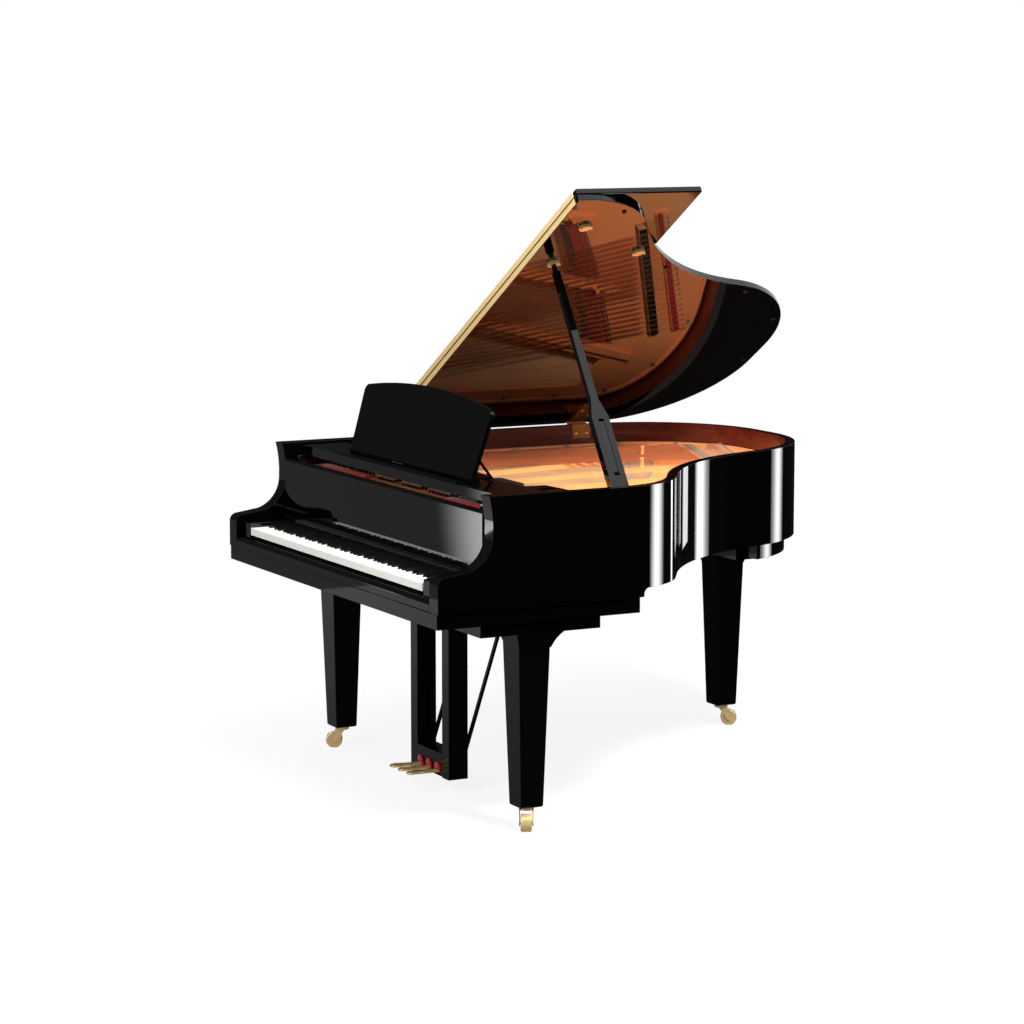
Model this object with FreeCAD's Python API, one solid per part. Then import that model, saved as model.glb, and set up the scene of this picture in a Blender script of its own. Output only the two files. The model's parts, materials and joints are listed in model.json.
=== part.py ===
import FreeCAD, Part
import math
import os

# Grand piano standing open: the lid rests on the long prop and the front lid is folded back on it.
# X points to the treble side, Y to the tail, Z up; lengths in millimetres, angles in degrees.
# Shares of the plan are taken of the half width in X and of the case length in Y.

# Turns and fits
quarter_turn = 90.0
fit_gap = 0.3
running_fit = 0.05

# Case outline
case_width = 1490.0
straight_side = 585.7
bend_radius_share = 0.204
bend_turn = 57.3
bend_line_share = 0.0427
waist_radius_share = 0.565
waist_turn = 42.7
tail_radius_share = 0.2931
tail_corner_share = 0.2737
half_width = case_width / 2
bend_radius = case_width * bend_radius_share
bend_line = case_width * bend_line_share
waist_radius = case_width * waist_radius_share
tail_radius = case_width * tail_radius_share
tail_corner = case_width * tail_corner_share
tail_turn = quarter_turn - bend_turn + waist_turn

# Key bed, rim and arms
bed_bottom = 621.0
bed_thickness = 44.0
bed_depth = 646.0
bed_inset = 6.0
bed_top = bed_bottom + bed_thickness
rim_thickness = 30.0
rim_lift = 25.0
rim_height = 295.0
rim_bottom = bed_top + rim_lift
rim_top = rim_bottom + rim_height
step_back = 662.0
step_cove = 22.0
step_depth_share = 0.75
step_rise_share = 0.2
arm_thickness = 55.0
arm_inner = half_width - arm_thickness
arm_length = 420.0
arm_nose_radius = 25.0
arm_height = 102.0
arm_shelf_front = bed_top + arm_height
arm_shelf_depth = 96.0
arm_shelf_rise = 10.0
arm_shelf_back = arm_shelf_front + arm_shelf_rise
arm_cove_back = 171.0
arm_neck_height = 105.0
arm_cove_top = rim_top - arm_neck_height
arm_neck_back = 160.0
cove_depth_share = 0.68
cove_rise_share = 0.32
neck_lean_share = 0.14

# Soundboard and back frame
inner_rim_thickness = 45.0
tail_rim_share = 0.825
tail_rim_drop = 50.0
tail_rim_bottom = rim_bottom - tail_rim_drop
belly_front = 500.0
belly_thickness = 40.0
belly_back = belly_front + belly_thickness
board_drop = 115.0
board_thickness = 9.0
board_bottom = rim_top - board_drop
board_top = board_bottom + board_thickness
post_lift = 10.0
post_height = 90.0
post_bottom = rim_bottom + post_lift
post_top = post_bottom + post_height
post_width = 62.0
post_front_shares = (-0.70, -0.34, 0.03, 0.39)
post_rear_shares = (-0.64, -0.44, -0.24, -0.04)
rib_width = 22.0
rib_height = 18.0
rib_count = 8
rib_first = 110.0
rib_spacing = 125.0
rib_tilt = 190.0

# Plate
plate_rise = 26.0
plate_thickness = 12.0
plate_margin = 8.0
plate_bottom = board_top + plate_rise
plate_top = plate_bottom + plate_thickness
strut_rise = 13.0
strut_top = plate_top + strut_rise
strut_half = 12.0
strut_shares = (0.0, 0.2, 0.42, 0.65, 0.85)
bay_margin_share = 0.02
cap_margin_share = 0.03
bay_front_share = 0.06
bay_rear_share = 0.93
bay_steps = 4
strut_end_share = 1.03
bass_bay_inset = 90.0
bass_bay_room = 40.0
bass_bay_rear_share = 0.7433
bass_bay_gap = 34.0
bolt_inset = 30.0
bolt_spacing = 190.0
bolt_radius = 8.0
bolt_head_height = 6.0

# String fan: front ends on one line, rear ends on a curve along the bent side
agraffe_back = 400.0
fan_margin = 90.0
fan_left_share = -0.3624
fan_left = half_width * fan_left_share
fan_right = arm_inner - fan_margin
fan_rear_shares = (-0.7248, 0.8297)
fan_bulge_shares = (0.1611, 0.6857)
fan_near_shares = (0.792, 0.3688)
bass_left_share = -0.8134
bass_right_share = -0.4027
bass_rear_left_shares = (-0.5772, 0.9565)
bass_rear_right_shares = (-0.0537, 0.8643)
string_rise = 3.0
bass_rise = 15.0
plain_height = plate_top + string_rise
plain_half = 0.8
bass_height = plain_height + bass_rise
bass_half = 1.8
plain_notes = 68
bass_notes = 20
string_end_share = 0.97

# Pin block
pin_block_front = 215.0
pin_block_room = 5.0
pin_block_height = 33.0
pin_block_back = agraffe_back - pin_block_room
pin_block_bottom = plate_bottom - pin_block_height

# Bridges
bridge_half = 14.0
bridge_step = 6.0
bridge_waist = plate_bottom - bridge_step
bridge_share = 0.85
bass_bridge_share = 0.9
bass_bridge_over_share = 0.03
bridge_room = 8.0

# Dampers, hammers and action
damper_room = 90.0
damper_depth = 36.0
damper_front = agraffe_back + damper_room
damper_back = damper_front + damper_depth
damper_half = 3.5
damper_rise = 10.0
damper_top = bass_height + damper_rise
damped_bays = 4
hammer_front = 300.0
hammer_back = 466.0
hammer_head = 20.0
hammer_half = 3.0
hammer_room = 10.0
hammer_height = 36.0
shank_thickness = 5.0
hammer_top = pin_block_bottom - hammer_room
shank_bottom = hammer_top - hammer_height
shank_top = shank_bottom + shank_thickness
action_front = 226.0
action_back = 416.0
action_rail_depth = 18.0
action_rail_height = 20.0
action_rail_bottom = shank_bottom - action_rail_height
hammer_rail_front = 296.0

# Keys and key frame: the keys fill the room between the key blocks
white_count = 52
octave_whites = 7
octave_notes = 12
c_to_e_whites = 3
c_to_e_notes = 5
whites_before_first = 5
block_width = 73.0
block_room = 6.0
block_inner = arm_inner - block_width
key_span = 2 * (block_inner - block_room)
white_width = key_span / white_count
key_gap = 0.45
key_front = 16.0
key_head_back = 66.0
key_back = 420.0
key_rise = 47.0
key_bottom = bed_top + key_rise
white_height = 23.0
white_top = key_bottom + white_height
sharp_rise = 12.0
sharp_top = white_top + sharp_rise
sharp_back = 162.0
sharp_slope = 6.0
sharp_margin = 1.1
sharp_seat = 1.0
sharp_front_gap = 1.2
balance_back = 235.0
balance_half = 3.0
balance_foot_half = 14.0
balance_slope = 12.0
balance_foot_top = key_bottom - balance_slope
frame_over = 0.5
frame_half = key_span / 2 + frame_over
frame_rail_height = 30.0
front_rail_front = 32.0
front_rail_depth = 40.0
back_rail_front = 385.0
back_rail_depth = 28.0
frame_cheek = 14.0
frame_base_height = 17.0
frame_base_top = bed_top + frame_base_height
action_room = 13.5
action_cheek = 12.0
action_inner = frame_half + action_room
action_outer = action_inner + action_cheek
first_note = 9
note_count = 88
single_notes = {39: "key_c4", 40: "key_cs4", 41: "key_d4", 42: "key_ds4"}
single_notes.update({43: "key_e4", 44: "key_f4", 45: "key_fs4"})
white_semitones = (0, 2, 4, 5, 7, 9, 11)

# Key slip and key blocks
slip_depth = 14.0
slip_front_rise = 23.0
slip_rise = 35.0
slip_front_top = bed_top + slip_front_rise
slip_top = bed_top + slip_rise
slip_chamfer = 9.0
block_front = 17.0
block_back = 160.0
block_rise = 13.0
block_top = white_top + block_rise

# Music desk
rail_drop = 33.3
rail_height = 21.7
rail_width = 62.0
rail_inner = arm_inner - rail_width
rail_front = 190.0
rail_back = 530.0
rail_top = rim_top - rail_drop
rail_bottom = rail_top - rail_height
tray_inset = 30.0
tray_half = arm_inner - tray_inset
tray_front = 215.0
tray_back = 365.0
tray_thickness = 28.0
tray_bottom = rail_top + fit_gap
tray_top = tray_bottom + tray_thickness
tray_arm_inset = 70.0
tray_arm_width = 60.0
tray_arm_outer = arm_inner - tray_arm_inset
tray_arm_inner = tray_arm_outer - tray_arm_width
tray_arm_back = 522.0
tray_arm_slope = 432.0
tray_arm_nose = 8.0
tray_arm_end = tray_bottom + tray_arm_nose
ledge_half = 420.0
ledge_front = 222.0
ledge_back = 262.0
ledge_rise = 3.0
ledge_top = tray_top + ledge_rise
desk_axis_back = 283.0
desk_axis_rise = 4.5
desk_axis_height = tray_top + desk_axis_rise
desk_lean = 17.0
desk_thickness = 14.0
desk_bottom_half = 414.0
desk_flare = 13.0
desk_top_half = desk_bottom_half + desk_flare
desk_corner_height = 212.0
desk_top_height = 240.0
desk_corner_radius = 25.0
desk_corner_share = 0.29
desk_barrel = 4.0
lug_room = 4.0
lug_width = 8.0
lug_inner = desk_bottom_half + lug_room
lug_outer = lug_inner + lug_width
lug_half = 9.0
stay_offset = 70.0
stay_length = 80.0
stay_lean = 37.4
stay_half = 2.5
stay_inset = 26.0
stay_bar_width = 12.0
stay_bar_outer = desk_bottom_half - stay_inset
stay_bar_inner = stay_bar_outer - stay_bar_width
saddle_room = 14.0
saddle_width = 12.0
saddle_outer = stay_bar_inner - saddle_room
saddle_inner = saddle_outer - saddle_width
saddle_half = 6.0

# Fallboard, under the tray when it is open
fall_room = 4.0
fall_half = arm_inner - fall_room
fall_front = 167.0
fall_thickness = 20.0
fall_rise = 25.0
fall_drop = 12.0
fall_bottom = white_top + fall_rise
fall_top = tray_bottom - fall_drop
fall_axis_depth = 18.0
fall_axis_rise = 12.0
fall_axis_back = fall_front + fall_axis_depth
fall_axis_height = fall_bottom + fall_axis_rise
fall_pin_radius = 4.0
fall_pin_length = 7.0

# Lid
lid_angle = 31.86
lid_overhang = 12.0
lid_gap = 6.0
lid_bottom = rim_top + lid_gap
lid_thickness = 19.0
lid_top = lid_bottom + lid_thickness
lid_split = 556.0
lid_front = 138.0
split_gap = 2.0
fold_gap = 1.5
fold_height = lid_top + fold_gap / 2
leaf_gap = 0.3
long_pin = 0.8
long_knuckle = 2.0
long_segments = 9
long_leaf_foot = 1.0

# Spine hinges
spine_axis_out = 4.8
spine_axis_rise = 4.0
spine_axis_height = rim_top + spine_axis_rise
spine_knuckle = 4.5
spine_pin = 2.0
spine_leaf = 2.0
spine_half = 34.0
spine_inner_drop = 45.0
spine_lid_reach = 133.0
spine_centres = (700.0, 1250.0)
spine_notch = 1.2

# Long prop, short prop and cups
prop_inset = 62.0
prop_back = 52.0
prop_drop = 19.0
prop_foot = (half_width - prop_inset, lid_split + prop_back, rim_top - prop_drop)
prop_lean = 37.32
prop_plan = -4.59
prop_half_width = 27.0
prop_half_thick = 14.0
prop_heel = 12.0
prop_wide_end = 240.0
prop_neck_start = 300.0
prop_neck_half = 12.0
prop_neck_thick = 11.0
prop_tip_half = 9.5
prop_peg_radius = 8.0
prop_peg_length = 26.0
prop_seat_gap = 1.6
prop_pin = 5.0
slot_half = 8.5
slot_bottom = 45.0
slot_end = 6.0
slot_top = prop_wide_end - slot_end
slot_floor = -8.0
short_half = 8.0
short_thick = 7.0
short_axis = 60.0
short_offset = 5.0
short_length = 166.0
short_pin = 3.0
bracket_lug = 8.0
bracket_half = 15.0
bracket_lug_top = 10.0
bracket_drop = 38.0
bracket_base = 14.0
bracket_reach = 60.0
cup_radius = 20.0
cup_inner = 15.0
cup_thickness = 5.0
cup_wall = 6.0
spare_cup_shares = ((0.804, 0.3838), (0.5866, 0.5346))

# Legs and castors
leg_front_inset = 111.0
leg_front_x = half_width - leg_front_inset
leg_front_y = 334.0
leg_rear_share = -0.5087
leg_rear_x = half_width * leg_rear_share
leg_rear_inset = 100.5
leg_plate_thickness = 35.0
front_leg_top = bed_bottom - leg_plate_thickness
rear_leg_top = front_leg_top
leg_bottom = 70.0
leg_foot_half = 36.0
leg_foot_chamfer = 4.0
leg_neck_half = 50.0
leg_cap_half = 60.0
leg_neck_drop = 41.0
leg_cap_drop = 14.0
leg_mid_half = 53.0
leg_mid_drop = 32.0
plate_inset = 17.0
plate_width = 176.0
plate_outer_x = half_width - plate_inset
plate_inner_x = plate_outer_x - plate_width
plate_front_y = 140.0
plate_back_y = 522.0
corbel_half = 36.0
corbel_depth = 118.0
corbel_drop = 56.0
corbel_share = 0.3
rear_block_left = 105.0
rear_block_right = 215.0
rear_block_front = 80.0
rear_block_back = 45.0
castor_turns = (-28.0, -117.0, 62.6)
stem_radius = 6.0
stem_length = 26.0
castor_plate_radius = 22.0
castor_plate_height = 10.0
castor_plate_bottom = leg_bottom - castor_plate_height
wheel_radius = 26.0
wheel_half = 16.0
wheel_chamfer = 3.0
castor_trail = 25.0
cheek_room = 1.0
cheek_thickness = 4.0
cheek_inner = wheel_half + cheek_room
cheek_outer = cheek_inner + cheek_thickness
cheek_half = 9.0
cheek_root = 15.0
axle_radius = 4.0

# Pedal lyre
post_inner_x = 85.0
lyre_post_width = 45.0
post_outer_x = post_inner_x + lyre_post_width
lyre_front = 337.0
lyre_depth = 64.0
lyre_back = lyre_front + lyre_depth
lyre_bottom = 42.0
head_thickness = 25.0
head_bottom = bed_bottom - head_thickness
head_over = 12.0
head_half = post_outer_x + head_over
head_front = lyre_front - head_over
head_rear = 24.0
head_back = lyre_back + head_rear
pedal_box_lift = 3.0
pedal_box_height = 70.0
pedal_box_bottom = lyre_bottom + pedal_box_lift
pedal_box_top = pedal_box_bottom + pedal_box_height
pedal_box_wall = 10.0
pedal_slot_half = 15.0
pedal_slot_rise = 3.0
pedal_slot_height = 32.0
pedal_slot_bottom = pedal_box_bottom + pedal_slot_rise
pedal_slot_top = pedal_slot_bottom + pedal_slot_height
pedal_half = 12.0
pedal_rise = 7.0
pedal_thickness = 10.0
pedal_bottom = pedal_slot_bottom + pedal_rise
pedal_top = pedal_bottom + pedal_thickness
pedal_reach = 104.0
pedal_tip = lyre_front - pedal_reach
pedal_over = 19.0
pedal_heel = lyre_back + pedal_over
pedal_toe_half = 19.0
pedal_toe_length = 70.0
pedal_axis_depth = 33.0
pedal_axis_back = lyre_front + pedal_axis_depth
pedal_axis_height = pedal_bottom + pedal_thickness / 2
pedal_axle = 3.0
pedal_spacing = 58.0
pedal_centres = (-pedal_spacing, 0, pedal_spacing)
pedal_names = ("left", "middle", "right")
pedal_rod_inset = 8.0
pedal_rod_back = pedal_heel - pedal_rod_inset
pedal_rod_radius = 4.0
pedal_rod_drop = 9.0
pedal_rod_top = bed_bottom - pedal_rod_drop
pedal_rod_room = 1.0
brace_inset = 22.0
brace_x = post_inner_x + brace_inset
brace_radius = 6.5
brace_low = 112.0
brace_run_inset = 81.0
brace_run = bed_depth - brace_run_inset
brace_over = 40.0

# Worked out from the sizes above
spine_axis = FreeCAD.Vector(-half_width - spine_axis_out, 0, spine_axis_height)

V = FreeCAD.Vector
along_x = V(1, 0, 0)
along_y = V(0, 1, 0)
along_z = V(0, 0, 1)


def box(x0, x1, y0, y1, z0, z1):
    return Part.makeBox(x1 - x0, y1 - y0, z1 - z0, V(x0, y0, z0))


def pair(x0, x1, y0, y1, z0, z1):
    return [box(x0, x1, y0, y1, z0, z1), box(-x1, -x0, y0, y1, z0, z1)]


def prism(points, path):
    face = Part.Face(Part.makePolygon(points + points[:1]))
    return face.extrude(path)


def flat_plate(points, z0, z1):
    return prism([V(x, y, z0) for x, y in points], V(0, 0, z1 - z0))


def side_plate(points, x0, x1):
    return prism([V(x0, y, z) for y, z in points], V(x1 - x0, 0, 0))


def front_plate(points, y0, y1):
    return prism([V(x, y0, z) for x, z in points], V(0, y1 - y0, 0))


def rod(start, end, radius):
    path = end - start
    return Part.makeCylinder(radius, path.Length, start, path)


def chain(points):
    return [Part.makeLine(a, b) for a, b in zip(points, points[1:])]


def arc(start, middle, end):
    return Part.Arc(start, middle, end).toShape()


def join(solids):
    whole = solids[0].fuse(solids[1:])
    return whole.removeSplitter()


def group(solids):
    return Part.makeCompound(solids)


def turned(shape, base, axis, angle):
    copy = shape.copy()
    copy.rotate(base, axis, angle)
    return copy


# Case


def compass(angle):
    return V(math.cos(math.radians(angle)), math.sin(math.radians(angle)), 0)


def bend(start, angle, radius, turn):
    # an arc that leaves start at this heading; a positive turn bends to the left
    normal = angle + math.copysign(quarter_turn, turn)
    centre = start + compass(normal) * radius
    middle = centre - compass(normal + turn / 2) * radius
    end = centre - compass(normal + turn) * radius
    return arc(start, middle, end), end


def outline_face(inset, front, height):
    # the plan of the case, moved inwards by inset and cut straight at front
    corner = V(half_width - inset, front, height)
    start = V(half_width - inset, straight_side, height)
    edges = [Part.makeLine(corner, start)]
    angle = quarter_turn
    curve, here = bend(start, angle, bend_radius - inset, bend_turn)
    edges.append(curve)
    angle += bend_turn
    there = here + compass(angle) * bend_line
    edges.append(Part.makeLine(here, there))
    curve, here = bend(there, angle, waist_radius + inset, -waist_turn)
    edges.append(curve)
    angle -= waist_turn
    curve, here = bend(here, angle, tail_radius - inset, tail_turn)
    edges.append(curve)
    there = V(tail_corner - half_width, here.y, height)
    edges.append(Part.makeLine(here, there))
    angle += tail_turn
    curve, here = bend(there, angle, tail_corner - inset, quarter_turn)
    edges.append(curve)
    last = V(here.x, front, height)
    edges += chain([here, last, corner])
    return Part.Face(Part.Wire(edges))


def outline(inset, front, z0, z1):
    return outline_face(inset, front, z0).extrude(V(0, 0, z1 - z0))


case_length = max(corner.Y for corner in outline_face(0, 0, 0).Vertexes)
leg_rear_y = case_length - leg_rear_inset


def arm_air():
    # the space over the arms: nose, shelf, cove and neck
    side = -case_width
    nose = V(side, 0, arm_shelf_front - arm_nose_radius)
    nose_end = V(side, arm_nose_radius, arm_shelf_front)
    swing = compass(quarter_turn * 3 / 2) * arm_nose_radius
    nose_mid = V(side, arm_nose_radius + swing.x, nose.z + swing.y)
    shelf = V(side, arm_shelf_depth, arm_shelf_back)
    cove = V(side, arm_cove_back, arm_cove_top)
    cove_mid = V(side, shelf.y + cove_depth_share * (cove.y - shelf.y), 0)
    cove_mid.z = shelf.z + cove_rise_share * (cove.z - shelf.z)
    neck = V(side, arm_neck_back, rim_top)
    neck_mid = V(side, cove.y + neck_lean_share * (neck.y - cove.y), (cove.z + neck.z) / 2)
    sky = V(side, arm_neck_back, rim_top + rim_thickness)
    front_sky = V(side, -rim_thickness, sky.z)
    front_low = V(side, -rim_thickness, nose.z)
    edges = [arc(nose, nose_mid, nose_end), Part.makeLine(nose_end, shelf)]
    edges += [arc(shelf, cove_mid, cove), arc(cove, neck_mid, neck)]
    edges += chain([neck, sky, front_sky, front_low, nose])
    return Part.Face(Part.Wire(edges)).extrude(along_x * (2 * case_width))


def rim_step():
    # the underside of the tail part lies higher, with a small cove where it starts
    side = -case_width
    start = V(side, step_back, bed_top)
    end = V(side, step_back + step_cove, rim_bottom)
    middle = V(side, end.y - step_cove * step_depth_share, 0)
    middle.z = end.z - (rim_bottom - bed_top) * step_rise_share
    far = V(side, 2 * case_length, rim_bottom)
    far_low = V(side, 2 * case_length, bed_top - rim_thickness)
    low = V(side, step_back, far_low.z)
    edges = [arc(start, middle, end)] + chain([end, far, far_low, low, start])
    return Part.Face(Part.Wire(edges)).extrude(along_x * (2 * case_width))


def fall_pins(reach, radius):
    pins = []
    for side in (-1, 1):
        start = V(side * (fall_half - fall_pin_length), fall_axis_back, fall_axis_height)
        end = V(side * (fall_half + reach), fall_axis_back, fall_axis_height)
        pins.append(rod(start, end, radius))
    return pins


def make_outer_rim():
    wall = outline(0, 0, bed_top, rim_top)
    room = outline(rim_thickness, -rim_thickness, bed_top - rim_thickness, rim_top + rim_thickness)
    arms = pair(arm_inner, half_width - rim_thickness / 2, 0, arm_length, bed_top, rim_top)
    rim = join([wall.cut(room)] + arms)
    bores = fall_pins(2 * fall_pin_length, fall_pin_radius + running_fit)
    return rim.cut([arm_air(), rim_step()] + bores)


def make_inner_rim():
    wall = outline(rim_thickness + fit_gap, belly_front, bed_top, board_bottom)
    inset = rim_thickness + inner_rim_thickness
    room = outline(inset, belly_front - rim_thickness, 0, rim_top)
    low = outline(rim_thickness + fit_gap, belly_front, tail_rim_bottom, board_bottom)
    tail = box(-case_width, case_width, tail_rim_share * case_length, case_length, 0, rim_top)
    return join([wall.cut([room, rim_step()]), low.cut(room).common(tail)])


def frame_room(front):
    inset = rim_thickness + inner_rim_thickness + fit_gap
    return outline(inset, front, bed_top, board_bottom)


def make_back_frame():
    inset = rim_thickness + inner_rim_thickness + fit_gap
    reach = half_width - inset
    rail = box(-reach, reach, belly_front, belly_back, bed_top, board_bottom)
    solids = [rail]
    room = frame_room(belly_back)
    for front_share, rear_share in zip(post_front_shares, post_rear_shares):
        front = front_share * half_width
        rear = rear_share * half_width
        edge = post_width / 2
        points = [(front - edge, belly_back), (front + edge, belly_back)]
        points += [(rear + edge, case_length), (rear - edge, case_length)]
        solids.append(flat_plate(points, post_bottom, post_top).common(room).Solids[0])
    return group(solids)


def make_soundboard():
    inset = rim_thickness + fit_gap
    solids = [outline(inset, belly_front, board_bottom, board_top)]
    room = frame_room(belly_back + fit_gap)
    for number in range(rib_count):
        near = belly_back + rib_first + number * rib_spacing
        far = near + rib_tilt
        points = [(half_width, near), (half_width, near + rib_width)]
        points += [(-half_width, far + rib_width), (-half_width, far)]
        rib = flat_plate(points, board_bottom - rib_height, board_bottom).common(room)
        solids += rib.Solids
    return group(solids)


# Strings, bridges and plate


def fan_front(u):
    return V(fan_left + (fan_right - fan_left) * u, agraffe_back, 0)


def plan_point(shares):
    return V(shares[0] * half_width, shares[1] * case_length, 0)


def fan_hitch(u):
    back = plan_point(fan_rear_shares) * (1 - u) ** 2
    middle = plan_point(fan_bulge_shares) * (2 * u * (1 - u))
    near = plan_point(fan_near_shares) * u**2
    return back + middle + near


def bass_front(u):
    share = bass_left_share + (bass_right_share - bass_left_share) * u
    return V(share * half_width, agraffe_back, 0)


def bass_hitch(u):
    return plan_point(bass_rear_left_shares) * (1 - u) + plan_point(bass_rear_right_shares) * u


def on_fan(front, hitch, u, share):
    return front(u) + (hitch(u) - front(u)) * share


def strip(start, end, half, z0, z1):
    # a straight bar with upright sides between two points of the plan
    side = (end - start).cross(along_z).normalize() * half
    corners = [start - side, end - side, end + side, start + side]
    return flat_plate([(p.x, p.y) for p in corners], z0, z1)


def bridge_strip(front, hitch, share, first, last, half, z0, z1):
    near = []
    far = []
    for step in range(bay_steps + 1):
        u = first + (last - first) * step / bay_steps
        point = on_fan(front, hitch, u, share)
        reach = (hitch(u) - front(u)).normalize() * half
        near.append(point - reach)
        far.append(point + reach)
    corners = near + far[::-1]
    return flat_plate([(p.x, p.y) for p in corners], z0, z1)


def bays():
    edges = strut_shares + (1.0,)
    return list(zip(edges, edges[1:]))


def bay_notes():
    # the plain strings shared out over the bays between the struts
    notes = []
    for number, (first, last) in enumerate(bays()):
        count = round(plain_notes * (last - first))
        room = last - first - 2 * cap_margin_share
        for note in range(count):
            notes.append((number, first + cap_margin_share + room * (note + 1 / 2) / count))
    return notes


def bass_bridge(half, over, z0, z1):
    return bridge_strip(bass_front, bass_hitch, bass_bridge_share, -over, 1 + over, half, z0, z1)


def make_bridges():
    seat = plain_height - plain_half - fit_gap / 2
    lower = [bridge_strip(fan_front, fan_hitch, bridge_share, a, b, bridge_half, board_top, bridge_waist)
             for a, b in bays()]
    caps = []
    for a, b in bays():
        first = a + cap_margin_share
        last = b - cap_margin_share
        cap = bridge_strip(fan_front, fan_hitch, bridge_share, first, last, bridge_half,
                           bridge_waist, seat)
        caps.append(cap)
    long_bridge = join(lower + caps)
    bass_seat = bass_height - bass_half - fit_gap / 2
    return group([long_bridge, bass_bridge(bridge_half, bass_bridge_over_share, board_top, bass_seat)])


def make_pin_block():
    reach = arm_inner - fit_gap
    top = plate_bottom - fit_gap
    return box(-reach, reach, pin_block_front, pin_block_back, pin_block_bottom, top)


def bay_hole(first, last):
    first += bay_margin_share
    last -= bay_margin_share
    points = [on_fan(fan_front, fan_hitch, first, bay_front_share)]
    points.append(on_fan(fan_front, fan_hitch, last, bay_front_share))
    for step in range(bay_steps + 1):
        u = last + (first - last) * step / bay_steps
        points.append(on_fan(fan_front, fan_hitch, u, bay_rear_share))
    return flat_plate([(p.x, p.y) for p in points], plate_bottom - plate_margin, rim_top)


def bass_hole():
    front = on_fan(fan_front, fan_hitch, 0, bay_front_share)
    rear = on_fan(fan_front, fan_hitch, 0, bay_rear_share)
    left = bass_bay_inset - half_width
    near = agraffe_back + bass_bay_room
    points = [(left, near), (front.x - bass_bay_gap, near)]
    points += [(rear.x - bass_bay_gap, rear.y), (left, bass_bay_rear_share * case_length)]
    return flat_plate(points, plate_bottom - plate_margin, rim_top)


def make_plate():
    slab = outline(rim_thickness + plate_margin, pin_block_front, plate_bottom, plate_top)
    reach = arm_inner - plate_margin
    cuts = pair(reach, case_width, 0, arm_length + plate_margin, plate_bottom, plate_top)
    cuts += [bay_hole(first, last) for first, last in bays()]
    cuts.append(bass_hole())
    cuts.append(bass_bridge(bridge_half + bridge_room, 2 * bass_bridge_over_share, 0, rim_top))
    struts = []
    for u in strut_shares:
        end = on_fan(fan_front, fan_hitch, u, strut_end_share)
        struts.append(strip(fan_front(u), end, strut_half, plate_bottom, strut_top))
    return join([slab.cut(cuts)] + struts)


def make_plate_bolts():
    path = outline_face(rim_thickness + bolt_inset, belly_back, board_top).OuterWire
    solids = []
    for point in path.discretize(Distance=bolt_spacing):
        if point.y > belly_back + bolt_spacing / 2:
            foot = V(point.x, point.y, board_top)
            solids.append(rod(foot, V(point.x, point.y, plate_bottom), bolt_radius))
            seat = V(point.x, point.y, plate_top)
            solids.append(rod(seat, seat + along_z * bolt_head_height, bolt_radius))
    return group(solids)


def make_plain_strings():
    solids = []
    for bay, u in bay_notes():
        end = on_fan(fan_front, fan_hitch, u, string_end_share)
        low = plain_height - plain_half
        solids.append(strip(fan_front(u), end, plain_half, low, low + 2 * plain_half))
    return group(solids)


def bass_shares():
    return [(note + 1 / 2) / bass_notes for note in range(bass_notes)]


def make_bass_strings():
    solids = []
    for u in bass_shares():
        low = bass_height - bass_half
        solids.append(strip(bass_front(u), bass_hitch(u), bass_half, low, low + 2 * bass_half))
    return group(solids)


def damper_at(front, hitch, u, low):
    path = hitch(u) - front(u)
    middle = (damper_front + damper_back) / 2
    point = front(u) + path * ((middle - agraffe_back) / path.y)
    left = point.x - damper_half
    return box(left, left + 2 * damper_half, damper_front, damper_back, low, damper_top)


def make_dampers():
    solids = []
    for bay, u in bay_notes():
        if bay < damped_bays:
            solids.append(damper_at(fan_front, fan_hitch, u, plain_height + plain_half + fit_gap))
    for u in bass_shares():
        solids.append(damper_at(bass_front, bass_hitch, u, bass_height + bass_half + fit_gap))
    return group(solids)


# Keyboard and action


def make_key_bed():
    reach = half_width - bed_inset
    return box(-reach, reach, 0, bed_depth, bed_bottom, bed_top)


def make_key_slip():
    points = [(0, bed_top), (slip_depth, bed_top), (slip_depth, slip_top)]
    points += [(slip_chamfer, slip_top), (0, slip_front_top)]
    return side_plate(points, fit_gap - arm_inner, arm_inner - fit_gap)


def make_key_blocks():
    return group(pair(block_inner, arm_inner - fit_gap, block_front, block_back, bed_top, block_top))


def make_key_frame():
    low = bed_top + fit_gap
    top = key_bottom - fit_gap
    front_top = low + frame_rail_height
    solids = []
    front_end = front_rail_front + front_rail_depth
    back_end = back_rail_front + back_rail_depth
    solids.append(box(-frame_half, frame_half, front_rail_front, front_end, low, front_top))
    solids.append(box(-frame_half, frame_half, back_rail_front, back_end, low, top))
    foot = balance_foot_half
    points = [(balance_back - foot, low), (balance_back + foot, low)]
    points += [(balance_back + foot, balance_foot_top), (balance_back + balance_half, top)]
    points += [(balance_back - balance_half, top), (balance_back - foot, balance_foot_top)]
    solids.append(side_plate(points, -frame_half, frame_half))
    cheeks = pair(frame_half - frame_cheek, frame_half, front_rail_front, back_end, low, frame_base_top)
    return join(solids + cheeks)


def semitone_of(note):
    return (note + first_note) % octave_notes


def is_white(note):
    return semitone_of(note) in white_semitones


def key_slot(note):
    # the room of one note behind the heads of the white keys
    octave = (note + first_note) // octave_notes
    semitone = semitone_of(note)
    start = -key_span / 2 + (octave * octave_whites - whites_before_first) * white_width
    if semitone < c_to_e_notes:
        slot = white_width * c_to_e_whites / c_to_e_notes
        left = start + semitone * slot
    else:
        slot = white_width * (octave_whites - c_to_e_whites) / (octave_notes - c_to_e_notes)
        left = start + white_width * c_to_e_whites + (semitone - c_to_e_notes) * slot
    return left + key_gap, left + slot - key_gap


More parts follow.
